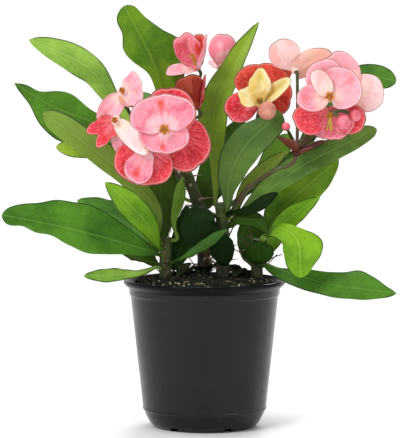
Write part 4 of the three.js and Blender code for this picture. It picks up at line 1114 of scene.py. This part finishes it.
# A cluster's row gives its stem and the height it grows at, its main stalk up to the fork
# (trunk), its blooms and its buds. A bloom stands at its centre, or round the main stalk
# (collar) below the fork; it has a way that it faces, the radius of its cup (eye), its
# rise, the places its stalk goes past (via) and, where it is ripe, hanging styles.
CYMES = dict(
    left=dict(
        stem="middle", at=164, trunk=[[-24, -12, 176], [-34, -20, 186]],
        blooms=dict(
            left_front=dict(centre=[-26, -46, 200], face=[0, -1, 0.05], eye=3.1, via=[[-36, -30, 193]]),
            left_behind=dict(centre=[-20.5, -30, 200], face=[0.05, -1, 0], eye=2.4, via=[[-22, -20, 190]]),
            left_lower=dict(centre=[-37, -38, 187], face=[0, -1, -0.1], eye=2.2),
            left_outer=dict(centre=[-58, -34, 206], face=[-0.1, -1, 0], eye=2, via=[[-44, -24, 194]]),
            left_top=dict(centre=[-54, -22, 223], face=[0, -0.9, 0.4], eye=2, via=[[-46, -18, 204]]),
        ),
    ),
    top=dict(
        stem="middle", at=170, trunk=[[-12, 7, 190], [-9, 5, 208]],
        blooms=dict(
            top_cup=dict(
                centre=[-5, -10, 240.5], face=[-0.35, -0.5, 0.8], eye=1.7, rise=7, via=[[-7, 7, 226]],
                yellow=True,
            ),
            top_back=dict(centre=[11, 9, 240], face=[0.05, 0.5, 0.86], eye=1.7, rise=5, via=[[2, 10, 226]]),
            top_lower=dict(
                centre=[-5, -12, 214.5], face=[-0.35, -0.25, 0.9], eye=1.5, via=[[-11, -3, 205]],
            ),
        ),
    ),
    centre=dict(
        stem="centre", at=146, trunk=[[22, 4, 172], [34, 2, 200]],
        blooms=dict(
            centre_red=dict(centre=[38, -10, 223], face=[0, -1, 0.05], eye=2),
            centre_cream=dict(
                centre=[36, -24, 217.5], face=[0, -1, 0.1], eye=2.6, via=[[35.5, -10, 206]], yellow=True,
            ),
        ),
        buds=[
            dict(root=[36, -28, 218], centre=[40.5, -37.5, 212], radius=6, skin="brown"),
        ],
    ),
    right=dict(
        stem="centre", at=143,
        trunk=[[28, -12, 159.5], [46, -23, 172.5], [57.4, -28, 177.5], [60.4, -29, 187]],
        blooms=dict(
            right_front=dict(
                centre=[80.5, -46, 221], face=[0, -1, 0.1], eye=2.8, via=[[73, -22, 205], [81, -27, 220.5]],
            ),
            right_back_left=dict(centre=[60, -14, 238], face=[-0.1, 0.8, 0.5], eye=2, via=[[61, -20, 210]]),
            right_back=dict(
                centre=[97, -28, 226], face=[0.1, -1, 0.2], eye=2, via=[[80, -20, 200], [92, -20, 215]],
            ),
            right_red=dict(
                centre=[81, -38, 211.5], face=[0, -0.93, -0.35], eye=2.4, rise=6,
                via=[[70, -24, 197], [79, -24, 209]], styles=7,
            ),
            right_fork=dict(collar=2.4, eye=0),
        ),
        buds=[
            dict(root=[81, -42, 210.5], centre=[89, -49, 205], radius=4.9, stalk=[[85, -47, 209.5]]),
            dict(root=[81, -42, 210.5], centre=[97, -43, 209], radius=4, stalk=[[89, -43.5, 212]]),
            dict(centre=[53, -33, 201.5], radius=2.8, stalk=[[58, -28, 192]]),
        ],
    ),
)


def trunk_route(cyme):
    """The main stalk from where it leaves the bark, and its foot inside the stem."""
    centre, out, radius = root_on(STEMS[cyme["stem"]], cyme["at"], cyme["trunk"][0])
    start = centre + out * (radius + SEAT + PETIOLE / 2 + TRUNK_LEAD)
    return Route([start] + cyme["trunk"]), centre + out * (radius - STALK_SUNK)


def bloom_place(bloom, cyme):
    """Where a bloom that is modelled looking along +Z, with its top towards +Y, stands."""
    if "collar" in bloom:
        route = cyme["route"]
        share = 1 - bloom["collar"] / route.length
        centre, face = route.at(share), route.along(share)
    else:
        centre, face = np.array(bloom["centre"], float), unit(np.array(bloom["face"], float))
    top = unit(np.array([0, 0, 1]) - face * face[2])
    return centre, np.stack([np.cross(top, face), top, face])


def set_in_place(points, place):
    """Points round the origin, turned and moved to a bloom's place."""
    centre, ways = place
    return np.array(points, float) @ ways + centre


def knobbed(radius, share):
    """A stalk is a little thicker where it starts and where it ends."""
    foot = 0.25 * math.exp(-(share / 0.06) ** 2)
    head = 0.12 * math.exp(-((1 - share) / 0.05) ** 2)
    return radius * (1 + foot + head)


def add_stalk(piece, points, radius, steps=36):
    """A stalk through points, thinner towards its end and not quite round."""

    def radius_at(share, angles):
        """The radius at a share of the length, for each angle round it."""
        return knobbed(radius, share) * (1 - (1 - THINNING) * share) + 0.05 * np.sin(4 * angles)

    shape, faces, along = tube(Route(points), radius_at, STALK_SIDES, steps)
    piece.add(shape, faces, GREEN, along=along)


def add_cup(piece, bloom, place, draw):
    """The cup in a bloom's middle: its rim, five glands and the tuft of stamens."""
    base = HUB_ABOVE + 1
    rim = base + bloom.get("rise", CUP_RISE)
    eye = bloom["eye"]
    section = [
        (0, -3), (NECK * 0.96, -3), (NECK, base - 1), (NECK * 1.05, base),
        (eye * 0.7, rim - 1.3), (eye * 0.86, rim - 0.3), (eye * 0.8, rim),
        (eye * 0.62, rim - 0.2), (eye * 0.45, rim - 0.9), (0, rim - 1),
    ]
    points, faces = revolve(rounded(section, 0.25, 2), 30)
    piece.add(set_in_place(points, place), faces, CUP)
    shape, faces = ball(8, 12)
    gland_finish = CUP if bloom.get("yellow") else GLAND
    for gland in range(GLANDS):
        angle = 2 * math.pi * gland / GLANDS - math.pi / 2
        way = np.array([math.cos(angle), math.sin(angle), 0])
        side = np.array([-math.sin(angle), math.cos(angle), 0])
        body = np.array(shape)
        dent = 1 - 0.3 * np.exp(-((body[:, 0] - 1) ** 2 + body[:, 1] ** 2) / 0.3)
        gland_points = (
            body[:, :1] * way * eye * 0.3 * dent[:, None] + body[:, 1:2] * side * eye * 0.46
            + body[:, 2:] * np.array([0, 0, 0.5]) + way * eye * 0.9 + np.array([0, 0, rim])
        )
        piece.add(set_in_place(gland_points, place), faces, gland_finish)
    anther, anther_faces = ball(5, 8)
    for stamen in range(STAMENS):
        angle = 2.4 * stamen
        spot = 0.42 * eye * math.sqrt((stamen + 0.5) / STAMENS)
        x, y = spot * math.cos(angle), spot * math.sin(angle)
        foot = np.array([x * 0.6, y * 0.6, rim - 1.1])
        head = np.array([x * 1.25, y * 1.25, rim + draw.spread(0.3, 1.3)])
        thread = Route([foot, (foot + head) / 2, head])
        thread_points, thread_faces, _ = tube(thread, lambda share, angles: STAMEN, 7, 4)
        piece.add(set_in_place(thread_points, place), thread_faces, STAMEN_RED)
        piece.add(set_in_place(np.array(anther) * ANTHER + head, place), anther_faces, GLAND)


def add_hanging_styles(piece, bloom, place, draw):
    """The long styles of a ripe bloom, which hang out of its cup."""
    centre, ways = place
    start = centre + ways[2] * (HUB_ABOVE + bloom.get("rise", CUP_RISE))
    anther, anther_faces = ball(5, 8)
    for _ in range(bloom.get("styles", 0)):
        drop = np.array([draw.spread(-3.2, 2), -3.5, -draw.spread(5.5, 11)])
        bend = start + ways[2] * 3 + drop * (0.4, 0.6, 0.25)
        style = Route([start, bend, start + drop])
        shape, faces, _ = tube(style, lambda share, angles: STYLE, 8, 12)
        piece.add(shape, faces, CUP)
        piece.add(np.array(anther) * STYLE * STYLE_HEAD + start + drop, anther_faces, GLAND)


def add_bud(piece, bud, start):
    """A closed bud: two bracts folded over each other, with a low seam and a blunt point."""
    shape, faces = ball(28, 36)
    body = np.array(shape)
    turn = np.arctan2(body[:, 1], body[:, 0])
    seam = np.exp(-(np.sin(turn - 1.1 * body[:, 2]) / 0.12) ** 2)
    seam = seam * np.clip(body[:, 2] + 0.5, 0, 1)
    size = bud["radius"] * (1 - 0.05 * seam) * (1 + 0.05 * np.clip(body[:, 2], 0, 1) ** 6)
    face = unit(np.array(bud["centre"], float) - start)
    top = unit(np.cross(face, [0.3, 1, 0.2]))
    place = np.array(bud["centre"], float), np.stack([np.cross(top, face), top, face])
    points = set_in_place(body * size[:, None], place)
    finish = BUD_BROWN if bud.get("skin") == "brown" else BUD_PINK
    piece.add(points, faces, finish, along=(body[:, 2] + 1) / 2)


green = Finish("flower_stalk_green", Specular_IOR_Level=0.45)
tint = green.noise(7, 3)
stalk_color = green.mix(paint("#2c3a16"), paint("#506828"), tint.between(0.3, 0.75))
green.color(green.mix(stalk_color, paint("#4c2018"), green.noise(14, 2).between(0.42, 0.6) * 0.75))
green.roughness(0.45 + tint * 0.15)
green.relief(green.noise(1.2, 3), 0.12)

cup_skin = Finish("cup_yellow_green", Specular_IOR_Level=0.45)
flush = cup_skin.noise(2, 3)
cup_skin.color(cup_skin.mix(paint("#a86a18"), paint("#b8a840"), flush))
cup_skin.roughness(0.4 + flush * 0.2)

gland_skin = Finish("gland_orange", Specular_IOR_Level=0.6)
speck = gland_skin.noise(0.9, 3)
gland_skin.color(gland_skin.mix(paint("#8c2808"), paint("#e08420"), speck.between(0.35, 0.65)))
gland_skin.roughness(0.28 + speck * 0.15)

stamen_skin = Finish("stamen_red", Specular_IOR_Level=0.45)
streaky = stamen_skin.noise(0.6, 2)
stamen_skin.color(stamen_skin.mix(paint("#8c1c10"), paint("#c84a24"), streaky))
stamen_skin.roughness(0.4 + streaky * 0.2)

BUD_TINTS = {
    "pink": ("#a83a44", "#cc4c60", "#e48492"),
    "brown": ("#5c4a20", "#b4685c", "#c89478"),
}


def bud_finish(name, foot, body, tip):
    """A bud's skin, darker at its foot and flushed in soft patches."""
    skin = Finish(f"bud_{name}", Specular_IOR_Level=0.35)
    ripe = skin.value("along")
    flushed = skin.noise(5, 2).between(0.35, 0.65)
    color = skin.mix(paint(body), paint(tip), flushed * 0.6 + ripe * 0.3)
    skin.color(skin.mix(color, paint(foot), 1 - ripe.between(0.05, 0.45)))
    skin.roughness(0.5 + flushed * 0.15)
    skin.relief(skin.noise(3, 2), 0.1)
    return skin.material


BUD_SKINS = [bud_finish(name, *paints) for name, paints in BUD_TINTS.items()]
CYME_SKINS = [skin.material for skin in (green, cup_skin, gland_skin, stamen_skin)] + BUD_SKINS

for name, cyme in CYMES.items():
    route, foot = trunk_route(cyme)
    cyme["route"] = route
    fork = route.at(1.0)
    draw = Draw(STALK_SEED)
    stalks = Piece(f"{name}_flower_stalks")
    add_stalk(stalks, [foot, route.at(0.0)] + cyme["trunk"], TRUNK, 48)
    for bloom in cyme["blooms"].values():
        if "collar" in bloom:
            continue
        place = bloom_place(bloom, cyme)
        centre, face = place[0], place[1][2]
        ends = [centre - face * STALK_LEAD, centre - face * HUB_BELOW]
        add_stalk(stalks, [fork] + bloom.get("via", []) + ends, TWIG)
        add_cup(stalks, bloom, place, draw)
        add_hanging_styles(stalks, bloom, place, draw)
    for bud in cyme.get("buds", []):
        points = [bud.get("root", fork)] + bud.get("stalk", []) + [bud["centre"]]
        add_stalk(stalks, points, TWIG, 24)
        add_bud(stalks, bud, np.array(points[-2], float))
    stalks = stalks.make(CYME_SKINS)
    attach(stalks, "root")
    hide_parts(f"flower_stalks_{name}")

# ---------------------------------------------------------------- blooms
# Rings of broad bracts round each cup: soft as velvet, thin, faintly veined from the
# middle, mottled, with a narrow pale hem. They open pale pink and turn red.
HUB_INNER = 2.2  # radius at which a bract leaves the ring
HUB_WALL = 1.3
LAYERS = [0.75, -0.95, -0.1, -1.8]  # heights at which a bloom's bracts leave the ring
BRACT_RINGS = 20
BRACT_COLUMNS = 60
BRACT_THICK = 0.62
BRACT_HEM = 0.3  # thickness at the rim
RING_CROWDING = 0.8
BRACT_UNEVEN = (0.02, 0.012)  # shares by which two waves move the rim in and out
BRACT_NICK = 0.03  # depth of the nick at the tip, as a share
RUFFLE = (0.6, 0.3)  # heights of the two waves that lift the rim
BRACT_FOLD = 0.7  # depth of the fold along the middle
BRACT_FOLD_WIDTH = 1.6
BRACT_LEAST = 3.4  # the least distance of the rim from the middle
BRACT_SPREAD = 1.8  # half the angle round the ring that a bract takes
STEEP_BRACT = 30  # degrees of tilt above which it takes the smaller angle
STEEP_SPREAD = 1.25
POINT_WIDTH = 0.3
TIP_APART = 0.3
TIP_WIDTH = 0.11
TIP_SHARE = 0.25
DIP_WIDTH = 0.16
BRACT_TINTS = {
    "blush": dict(
        heart="#f8dce0", middle="#d4627c", outer="#e68e9e", pale="#f4bcca", back="#e490a2",
        hem="#f6e0dc", vein="#d44020", edge="#8c3038", rays=0.25, grain=0.35, crease=1,
    ),
    "petal": dict(
        heart="#f6d8cc", middle="#dc8090", outer="#e8a4b0", pale="#f4ccd4", back="#f88ea2",
        hem="#f6e2dc", vein="#c8503c", edge="#a04c50", rays=0.2, grain=0.3, crease=0.3,
    ),
    "pearl": dict(
        heart="#f8e4cc", middle="#e6acac", outer="#f2cccc", pale="#f8e4e0", back="#f8bcb8",
        hem="#f8e8e0", vein="#d0745c", edge="#a8645c", rays=0.12, grain=0.2, crease=0.15,
    ),
    "peach": dict(
        heart="#dcb078", middle="#c87468", outer="#dc9c90", pale="#ecc8b8", back="#f8c4b0",
        hem="#f6e0d0", vein="#b87840", edge="#a0584c", rays=0.25, grain=0.3, crease=0.4,
    ),
    "rose": dict(
        heart="#e07484", middle="#cc4458", outer="#e27c8a", pale="#f2acb8", back="#e0687a",
        hem="#f2ccc4", vein="#a01c28", edge="#7c1c20", rays=0.4, grain=0.5, crease=0.6,
    ),
    "coral": dict(
        heart="#e88890", middle="#cc2430", outer="#e04450", pale="#f08e94", back="#c83440",
        hem="#f0b8ac", vein="#980e16", edge="#5c0c0c", rays=0.55, grain=0.55, crease=0.45,
    ),
    "scarlet": dict(
        heart="#c04c28", middle="#b42818", outer="#d44838", pale="#e4806c", back="#b42018",
        hem="#e8a490", vein="#840c08", edge="#540a08", rays=0.5, grain=0.5, crease=0.45,
    ),
    "garnet": dict(
        heart="#5c180c", middle="#7c1c10", outer="#a83424", pale="#c45c44", back="#902a18",
        hem="#d08068", vein="#440c06", edge="#400c08", rays=0.5, grain=0.6, crease=0.5,
    ),
    "wine": dict(
        heart="#2c1008", middle="#341008", outer="#5c2416", pale="#804030", back="#341206",
        hem="#a86858", vein="#240804", edge="#280c08", rays=0.4, grain=0.5, crease=0.4,
    ),
    "cream": dict(
        heart="#cc9c20", middle="#e4c468", outer="#eedaa2", pale="#f8f2dc", back="#eedca0",
        hem="#f8f2dc", vein="#8c9020", edge="#a08438", rays=0.2, grain=0.25, crease=0.3,
    ),
}


class Bract:
    """The colours and the form of a bract. It points turn degrees round from the bloom's
    top, is widest at belly of its length and rises by tilt degrees. Its sides bend up by
    cup and its tip down by curl. It may be drawn out to a point, and it may end in two
    tips (above 0) or be pinched there (below 0)."""

    def __init__(self, tint, turn, length, width, belly, tilt, cup, curl, point=0, tips=0):
        self.tint, self.turn, self.length, self.width = tint, turn, length, width
        self.belly, self.tilt, self.cup, self.curl = belly, tilt, cup, curl
        self.point, self.tips = point, tips


BLOOMS = dict(
    left_front=[
        Bract("blush", -8, 23, 44, 0.44, 14, 2, 2),
        Bract("blush", 186, 15.5, 33, 0.25, 9, 1, 2),
    ],
    left_behind=[
        Bract("coral", -9, 28, 33, 0.4, 4, 0, 1),
        Bract("coral", 145, 30, 36, 0.42, 4, 0, 1),
    ],
    left_lower=[
        Bract("blush", 206, 24, 19, 0.6, 16, 1, 2),
        Bract("coral", 197, 25, 39, 0.4, 0, 0, 1),
    ],
    left_outer=[
        Bract("pearl", 134, 30, 12.5, 0.5, 17, 1, 1, point=0.12),
        Bract("petal", 158, 28, 17, 0.55, 2, 0, 1),
        Bract("coral", 230, 21.5, 17, 0.66, 8, 2, 1, tips=0.26),
    ],
    left_top=[
        Bract("petal", 80, 14, 26, 0.62, 16, 1, 1),
        Bract("petal", 213, 27, 15, 0.5, 6, 2, 2),
        Bract("peach", 132, 13, 13, 0.5, 14, 1, 1),
    ],
    top_cup=[
        Bract("rose", -50, 23.5, 18, 0.5, 58, 3, 0, point=0.14, tips=0.1),
        Bract("petal", 72, 29, 16, 0.5, 60, 2, 0),
        Bract("scarlet", 8, 21, 15, 0.6, 58, 1, 0, point=0.12),
        Bract("petal", -106, 23, 12, 0.6, 5, 1, 0),
    ],
    top_back=[
        Bract("petal", -8, 23, 19, 0.55, 44, 2, 0),
        Bract("petal", 168, 20, 16, 0.5, 45, 2, 0),
    ],
    top_lower=[
        Bract("garnet", 125, 28, 19, 0.62, 74, 2, 0),
        Bract("coral", 40, 24, 12, 0.5, 60, 1, 0),
        Bract("garnet", -50, 22, 18, 0.6, 66, 2, 0),
    ],
    centre_red=[
        Bract("scarlet", -6, 20, 35, 0.42, 5, 0, 1),
        Bract("scarlet", 105, 20, 29, 0.42, 0, 0, 1),
        Bract("coral", 236, 28, 20, 0.6, 2, 0, 1),
        Bract("scarlet", 41, 26, 15, 0.6, -3, 0, 1, point=0.12),
    ],
    centre_cream=[
        Bract("cream", 1, 20, 15, 0.55, 14, 1, 1, tips=-0.13),
        Bract("cream", 53, 20.5, 10, 0.42, 6, 1, 1, point=0.18, tips=-0.1),
        Bract("cream", -66, 14, 14, 0.55, 10, 1, 1, tips=-0.14),
    ],
    right_front=[
        Bract("pearl", -31, 21, 12.5, 0.5, 20, 1, 1),
        Bract("petal", 50, 23, 29, 0.42, 14, 2, 2),
        Bract("petal", -93, 22, 18, 0.5, 12, 1, 1),
        Bract("petal", -12, 25, 26, 0.5, 4, 0, 1),
    ],
    right_back_left=[
        Bract("pearl", 37, 25, 21, 0.55, 8, 1, 1),
        Bract("peach", -63, 27, 20, 0.42, 6, 1, 1),
    ],
    right_back=[
        Bract("petal", -34, 27, 25, 0.5, 2, 0, 1),
        Bract("pearl", 106, 21.5, 25, 0.42, 2, 0, 1),
    ],
    right_red=[
        Bract("coral", -106, 25, 23, 0.52, 6, 1, 1),
        Bract("coral", 112, 26, 22, 0.5, 4, 1, 1),
        Bract("rose", 168, 20, 30, 0.42, 5, 0, 1),
    ],
    right_fork=[
        Bract("wine", -32, 17, 17, 0.45, 34, 3, 1),
        Bract("wine", 165, 22, 21, 0.45, 36, 3, 1),
    ],
)


def bract_finish(name, tint):
    """A bract's skin: clouds, fine mottling and veins that run out, and a pale hem."""
    skin = Finish(f"{name}_bract", Specular_IOR_Level=0.2)
    names = ("heart", "middle", "outer", "pale", "back", "hem", "vein", "edge")
    heart, middle, outer, pale, back, rim, vein, edge = (paint(tint[key]) for key in names)
    reach, turn, hem, under = (skin.value(key) for key in ("reach", "turn", "hem", "under"))
    cloud = skin.noise(11, 2).between(0.33, 0.67)
    mottle = skin.noise(1.5, 4, 0.75)
    rays = skin.node(
        "ShaderNodeTexNoise",
        {"noise_dimensions": "2D"},
        {
            "Vector": skin.node("ShaderNodeCombineXYZ", {}, {"X": turn * 13, "Y": reach * 1.6}),
            "Scale": 1.0, "Detail": 4.0, "Roughness": 0.65,
        },
    )
    inside = 1 - hem.between(0.7, 0.95)
    warm = skin.mix(middle, outer, (reach * 0.5 + cloud - 0.3).between(0, 0.7))
    warm = skin.mix(warm, heart, (1 - (reach + cloud * 0.3 - 0.15).between(0.12, 0.5)) * 0.7)
    warm = skin.mix(warm, middle, mottle.between(0.5, 0.6) * tint["grain"])
    warm = skin.mix(warm, pale, (1 - mottle).between(0.5, 0.62) * tint["grain"] * 0.7)
    warm = skin.mix(warm, vein, rays.between(0.5, 0.62) * inside * tint["rays"])
    midline = (1 - abs(turn).between(0.03, 0.2)) * (0.2 + reach.between(0.35, 0.75) * 0.8)
    warm = skin.mix(warm, vein, midline * inside * tint["crease"])
    rear = skin.mix(back, pale, cloud.between(0.4, 0.7) * 0.5)
    rear = skin.mix(rear, vein, rays.between(0.5, 0.7) * tint["rays"] * 0.3)
    whole = skin.mix(warm, rear, under)
    whole = skin.mix(whole, rim, hem.between(0.925, 0.945) * 0.5)
    skin.color(skin.mix(whole, edge, hem.between(0.958, 0.972) * 0.75))
    skin.roughness(0.55 + mottle * 0.15)
    skin.relief(rays * 0.7 + mottle * 0.3, 0.3)
    return skin.material


def bract_rim(bract, angle):
    """The distance from the hub to a bract's rim: an ellipse with the hub near its end."""
    middle = bract.length * bract.belly
    deep = bract.length - middle
    c, s = np.cos(angle) / deep, np.sin(angle) / (bract.width / 2)
    shift = middle / deep
    a, b = c * c + s * s, c * shift
    root = np.maximum(b * b - a * (shift * shift - 1), 0)
    rim = np.maximum((b + np.sqrt(root)) / a, BRACT_LEAST)
    notched = TIP_SHARE * np.exp(-((np.abs(angle) - TIP_APART) / TIP_WIDTH) ** 2)
    notched = notched - np.exp(-(angle / DIP_WIDTH) ** 2)
    pointed = np.exp(-(angle / POINT_WIDTH) ** 2)
    return rim * (1 + bract.point * pointed + bract.tips * notched)


def add_bract(piece, bract, layer, finish, place):
    """A bract as a grid from the ring to its rim, cupped, curled and lightly ruffled."""
    tilt = math.radians(bract.tilt)
    spread = STEEP_SPREAD if bract.tilt > STEEP_BRACT else BRACT_SPREAD
    angle = np.linspace(1, -1, BRACT_COLUMNS + 1)[None] * spread
    share = (np.linspace(0, 1, BRACT_RINGS + 1) ** RING_CROWDING)[:, None]
    rim = bract_rim(bract, angle)
    seed = bract.turn * 0.37 + bract.length
    broad, fine = BRACT_UNEVEN
    rim = rim * (1 + broad * np.sin(3.3 * angle + seed) + fine * np.sin(8.3 * angle + 2 * seed))
    rim = rim * (1 - BRACT_NICK * np.exp(-(angle / 0.08) ** 2))
    out = (rim - HUB_INNER) * share
    ahead, aside = out * np.cos(angle), (HUB_INNER + out) * np.sin(angle)
    raised = np.maximum(ahead, 0) * math.sin(tilt)
    reached = np.where(ahead > 0, ahead * math.cos(tilt), ahead)
    ruffle = RUFFLE[0] * np.sin(4.1 * angle + seed) + RUFFLE[1] * np.sin(9.1 * angle - seed)
    fold = BRACT_FOLD * np.exp(-(aside / BRACT_FOLD_WIDTH) ** 2)
    lift = bract.cup * (2 * aside / bract.width) ** 2 * share
    lift = lift - bract.curl * (out / bract.length) ** 2
    lift = lift + ruffle * share ** 3 - fold * np.sin(math.pi * share)
    x = HUB_INNER * np.cos(angle) + reached - lift * math.sin(tilt)
    z = layer + raised + lift * math.cos(tilt)
    turn = math.pi / 2 - math.radians(bract.turn)
    grid = np.stack([
        x * math.cos(turn) - aside * math.sin(turn),
        x * math.sin(turn) + aside * math.cos(turn),
        z,
    ], -1)
    grid = set_in_place(grid.reshape(-1, 3), place).reshape(grid.shape)
    near_side = np.clip((np.abs(angle) / spread - 0.9) / 0.1, 0, 1) * share
    hem = np.maximum(share * np.ones_like(angle), near_side * 0.93)
    thickness = BRACT_THICK + (BRACT_HEM - BRACT_THICK) * hem ** 6
    turned = angle * np.ones_like(share)
    two_faced(piece, grid, thickness, finish, reach=out / bract.length, turn=turned, hem=hem)


BRACT_SKINS = {name: bract_finish(name, tint) for name, tint in BRACT_TINTS.items()}

for cyme in CYMES.values():
    for name, bloom in cyme["blooms"].items():
        place = bloom_place(bloom, cyme)
        tints = [bract.tint for bract in BLOOMS[name]]
        number = {tint: index for index, tint in enumerate(dict.fromkeys(tints))}
        bracts = Piece(f"{name}_bloom_bracts")
        hole = TRUNK + 2 * SEAT if "collar" in bloom else NECK + SEAT
        ring = [
            (0, -HUB_BELOW), (0.6, -HUB_BELOW), (hole + 0.5, -HUB_BELOW), (hole + HUB_WALL, -0.9),
            (hole + HUB_WALL, 0.4), (hole + 0.4, HUB_ABOVE), (0.6, HUB_ABOVE), (0, HUB_ABOVE),
        ]
        points, faces = revolve(rounded(ring, 0.4, 2), 28)
        bracts.add(set_in_place(points, place), faces)
        for bract, layer in zip(BLOOMS[name], LAYERS):
            add_bract(bracts, bract, layer, number[bract.tint], place)
        bracts = bracts.make([BRACT_SKINS[tint] for tint in number])
        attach(bracts, "root")
        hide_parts(f"bloom_{name}")

# ---------------------------------------------------------------- thorns
# Stiff grey-brown spines in pairs on a spiral up each stem, thick at the foot and
# needle sharp. They grow through the bark and miss every leaf and stalk.
SPINE_SEED = 1821
SOIL_DRAWS = 84  # the first numbers of the series, which the frame's soil takes
SPINE_ABOVE_SOIL = 5
SPINE_BELOW_TOP = 4  # how far the last pair keeps below the end of the stem
SPINE_LENGTH = 8
SPINE_SUNK = 0.8  # how far the foot is grown into the bark
SPINE_PITCH = 5  # height from one pair to the next
SPINE_TURN = 2.4  # angle round the stem from one pair to the next
SPINE_APART = 0.42  # half the angle between the two of a pair
SPINE_RISE = 0.12
SPINE_CLEAR = 1.6  # what it keeps from leaves and stalks


def crowded():
    """Middles and half widths of all that a spine keeps clear of."""
    places, widths = [], []
    for leaf in LEAVES.values():
        fraction = np.linspace(0, 1, 60)
        places.append(leaf["route"].at(station(fraction)))
        widths.append(np.maximum(half_width(leaf, -1, fraction), half_width(leaf, 1, fraction)))
    for cyme in CYMES.values():
        places.append(cyme["route"].at(np.linspace(0, 1, 17)))
        widths.append(np.full(17, TRUNK))
    return np.vstack(places), np.concatenate(widths)


def spine_route(root, out, length):
    """The line of a spine, slightly bent."""
    bend = np.cross(out, [0, 0, 1.0]) * 0.25 + np.array([0, 0, 0.2])
    return Route([root, root + out * length * 0.5 + bend, root + out * length])


def spine_radius(share, angles):
    """Stout and flared where the spine leaves the bark, and down to a needle's point."""
    flare = 0.75 * math.exp(-(share / 0.12) ** 2)
    return 0.06 + 0.62 * (1 - share) ** 1.1 + flare


def blocked(tested, clear):
    """Whether one of the points tested is nearer than clear to a leaf or a stalk."""
    gaps = [np.linalg.norm(places - point, axis=1) - widths - clear for point in tested]
    return min(gap.min() for gap in gaps) < 0


thorn_skin = Finish("thorn", Specular_IOR_Level=0.4)
grey = thorn_skin.noise(1.1, 3)
thorn_color = thorn_skin.mix(paint("#6b5a45"), paint("#a3937a"), grey)
dark_tip = thorn_skin.value("along").between(0.75, 1)
thorn_skin.color(thorn_skin.mix(thorn_color, paint("#3a2a1e"), dark_tip))
thorn_skin.roughness(0.5 + grey * 0.25)
thorn_skin.relief(grey, 0.12)

places, widths = crowded()
draw = Draw(SPINE_SEED)
for _ in range(SOIL_DRAWS):
    draw()
for name, stem in STEMS.items():
    thorns = Piece(f"{name}_stem_thorns")
    turn = draw() * 2 * math.pi
    height = SOIL_CROWN + SPINE_ABOVE_SOIL
    while height < stem["path"][-1][2] - SPINE_BELOW_TOP:
        turn += SPINE_TURN
        for side in (-SPINE_APART, SPINE_APART):
            centre, way, radius = stem_at(stem, height + draw())
            out = unit(np.array([math.cos(turn + side), math.sin(turn + side), SPINE_RISE]))
            length = SPINE_LENGTH * (0.8 + 0.3 * draw()) + SPINE_SUNK
            root = centre + out * (radius / math.sqrt(1 - (out @ way) ** 2) - SPINE_SUNK)
            if blocked([root + out * length, root + out * length * 0.6], SPINE_CLEAR):
                continue
            shape, faces, along = tube(spine_route(root, out, length), spine_radius, 10, 14)
            thorns.add(shape, faces, along=along)
        height += SPINE_PITCH
    if not thorns.points:
        continue
    thorns = thorns.make([thorn_skin.material])
    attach(thorns, "root")

# ---------------------------------------------------------------- withered stalks
# What is left of last season's leaf and flower stalks: thin, dry and curved. They sit
# on the lower bark and bend away from it, in the gaps between the leaves.
WITHERED_TRIES = 16  # on each stem, of which only those with room stay
WITHERED_ABOVE_SOIL = (1, 26)
WITHERED_LENGTH = (8, 17)
WITHERED_FOOT = 0.8  # radius where it leaves the bark
WITHERED_TIP = 0.32  # radius at its end
WITHERED_RISE = (0.3, 1.6)  # how steeply one leaves the bark
WITHERED_BOW = (-0.25, 0.2)  # how far it sags or rises at its middle, in its length
WITHERED_SUNK = 0.7
WITHERED_CLEAR = 0.5
WITHERED_SEED = 409


def withered_radius(share, angles):
    """Thick where it left the bark, thin along its length, with a small knob at its end."""
    knob = 0.25 * math.exp(-((share - 0.97) / 0.03) ** 2)
    return WITHERED_TIP + (WITHERED_FOOT - WITHERED_TIP) * (1 - share) ** 2.5 + knob


dry_skin = Finish("withered_stalk", Specular_IOR_Level=0.25)
bleached = dry_skin.noise(3, 3)
dry_color = dry_skin.mix(paint("#4a4a20"), paint("#6c4a34"), dry_skin.value("dryness"))
dry_skin.color(dry_skin.mix(dry_color, paint("#8a7a54"), bleached.between(0.45, 0.8) * 0.7))
dry_skin.roughness(0.7 + bleached * 0.2)
dry_skin.relief(bleached, 0.2)

draw = Draw(WITHERED_SEED)
withered = Piece("withered_stalks")
for stem in STEMS.values():
    for _ in range(WITHERED_TRIES):
        height = SOIL_CROWN + draw.spread(*WITHERED_ABOVE_SOIL)
        heading, rise = 2 * math.pi * draw(), draw.spread(*WITHERED_RISE)
        length, bow, dryness = draw.spread(*WITHERED_LENGTH), draw.spread(*WITHERED_BOW), draw()
        if height > stem["path"][-1][2] - 2:
            continue
        centre, way, radius = stem_at(stem, height)
        level = np.array([math.cos(heading), math.sin(heading), 0])
        out = unit(level + np.array([0, 0, rise]))
        root = centre + level * (radius - WITHERED_SUNK)
        bent = np.array([0, 0, bow * length])
        half_way = root + out * length * 0.5 + bent * 0.6
        route = Route([root, half_way, root + out * length - bent * 0.4])
        if blocked(route.at(np.linspace(0.35, 1, 6)), WITHERED_CLEAR):
            continue
        shape, faces, along = tube(route, withered_radius, 8, 16)
        withered.add(shape, faces, dryness=np.full(len(shape), dryness))
withered = withered.make([dry_skin.material])
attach(withered, "root")
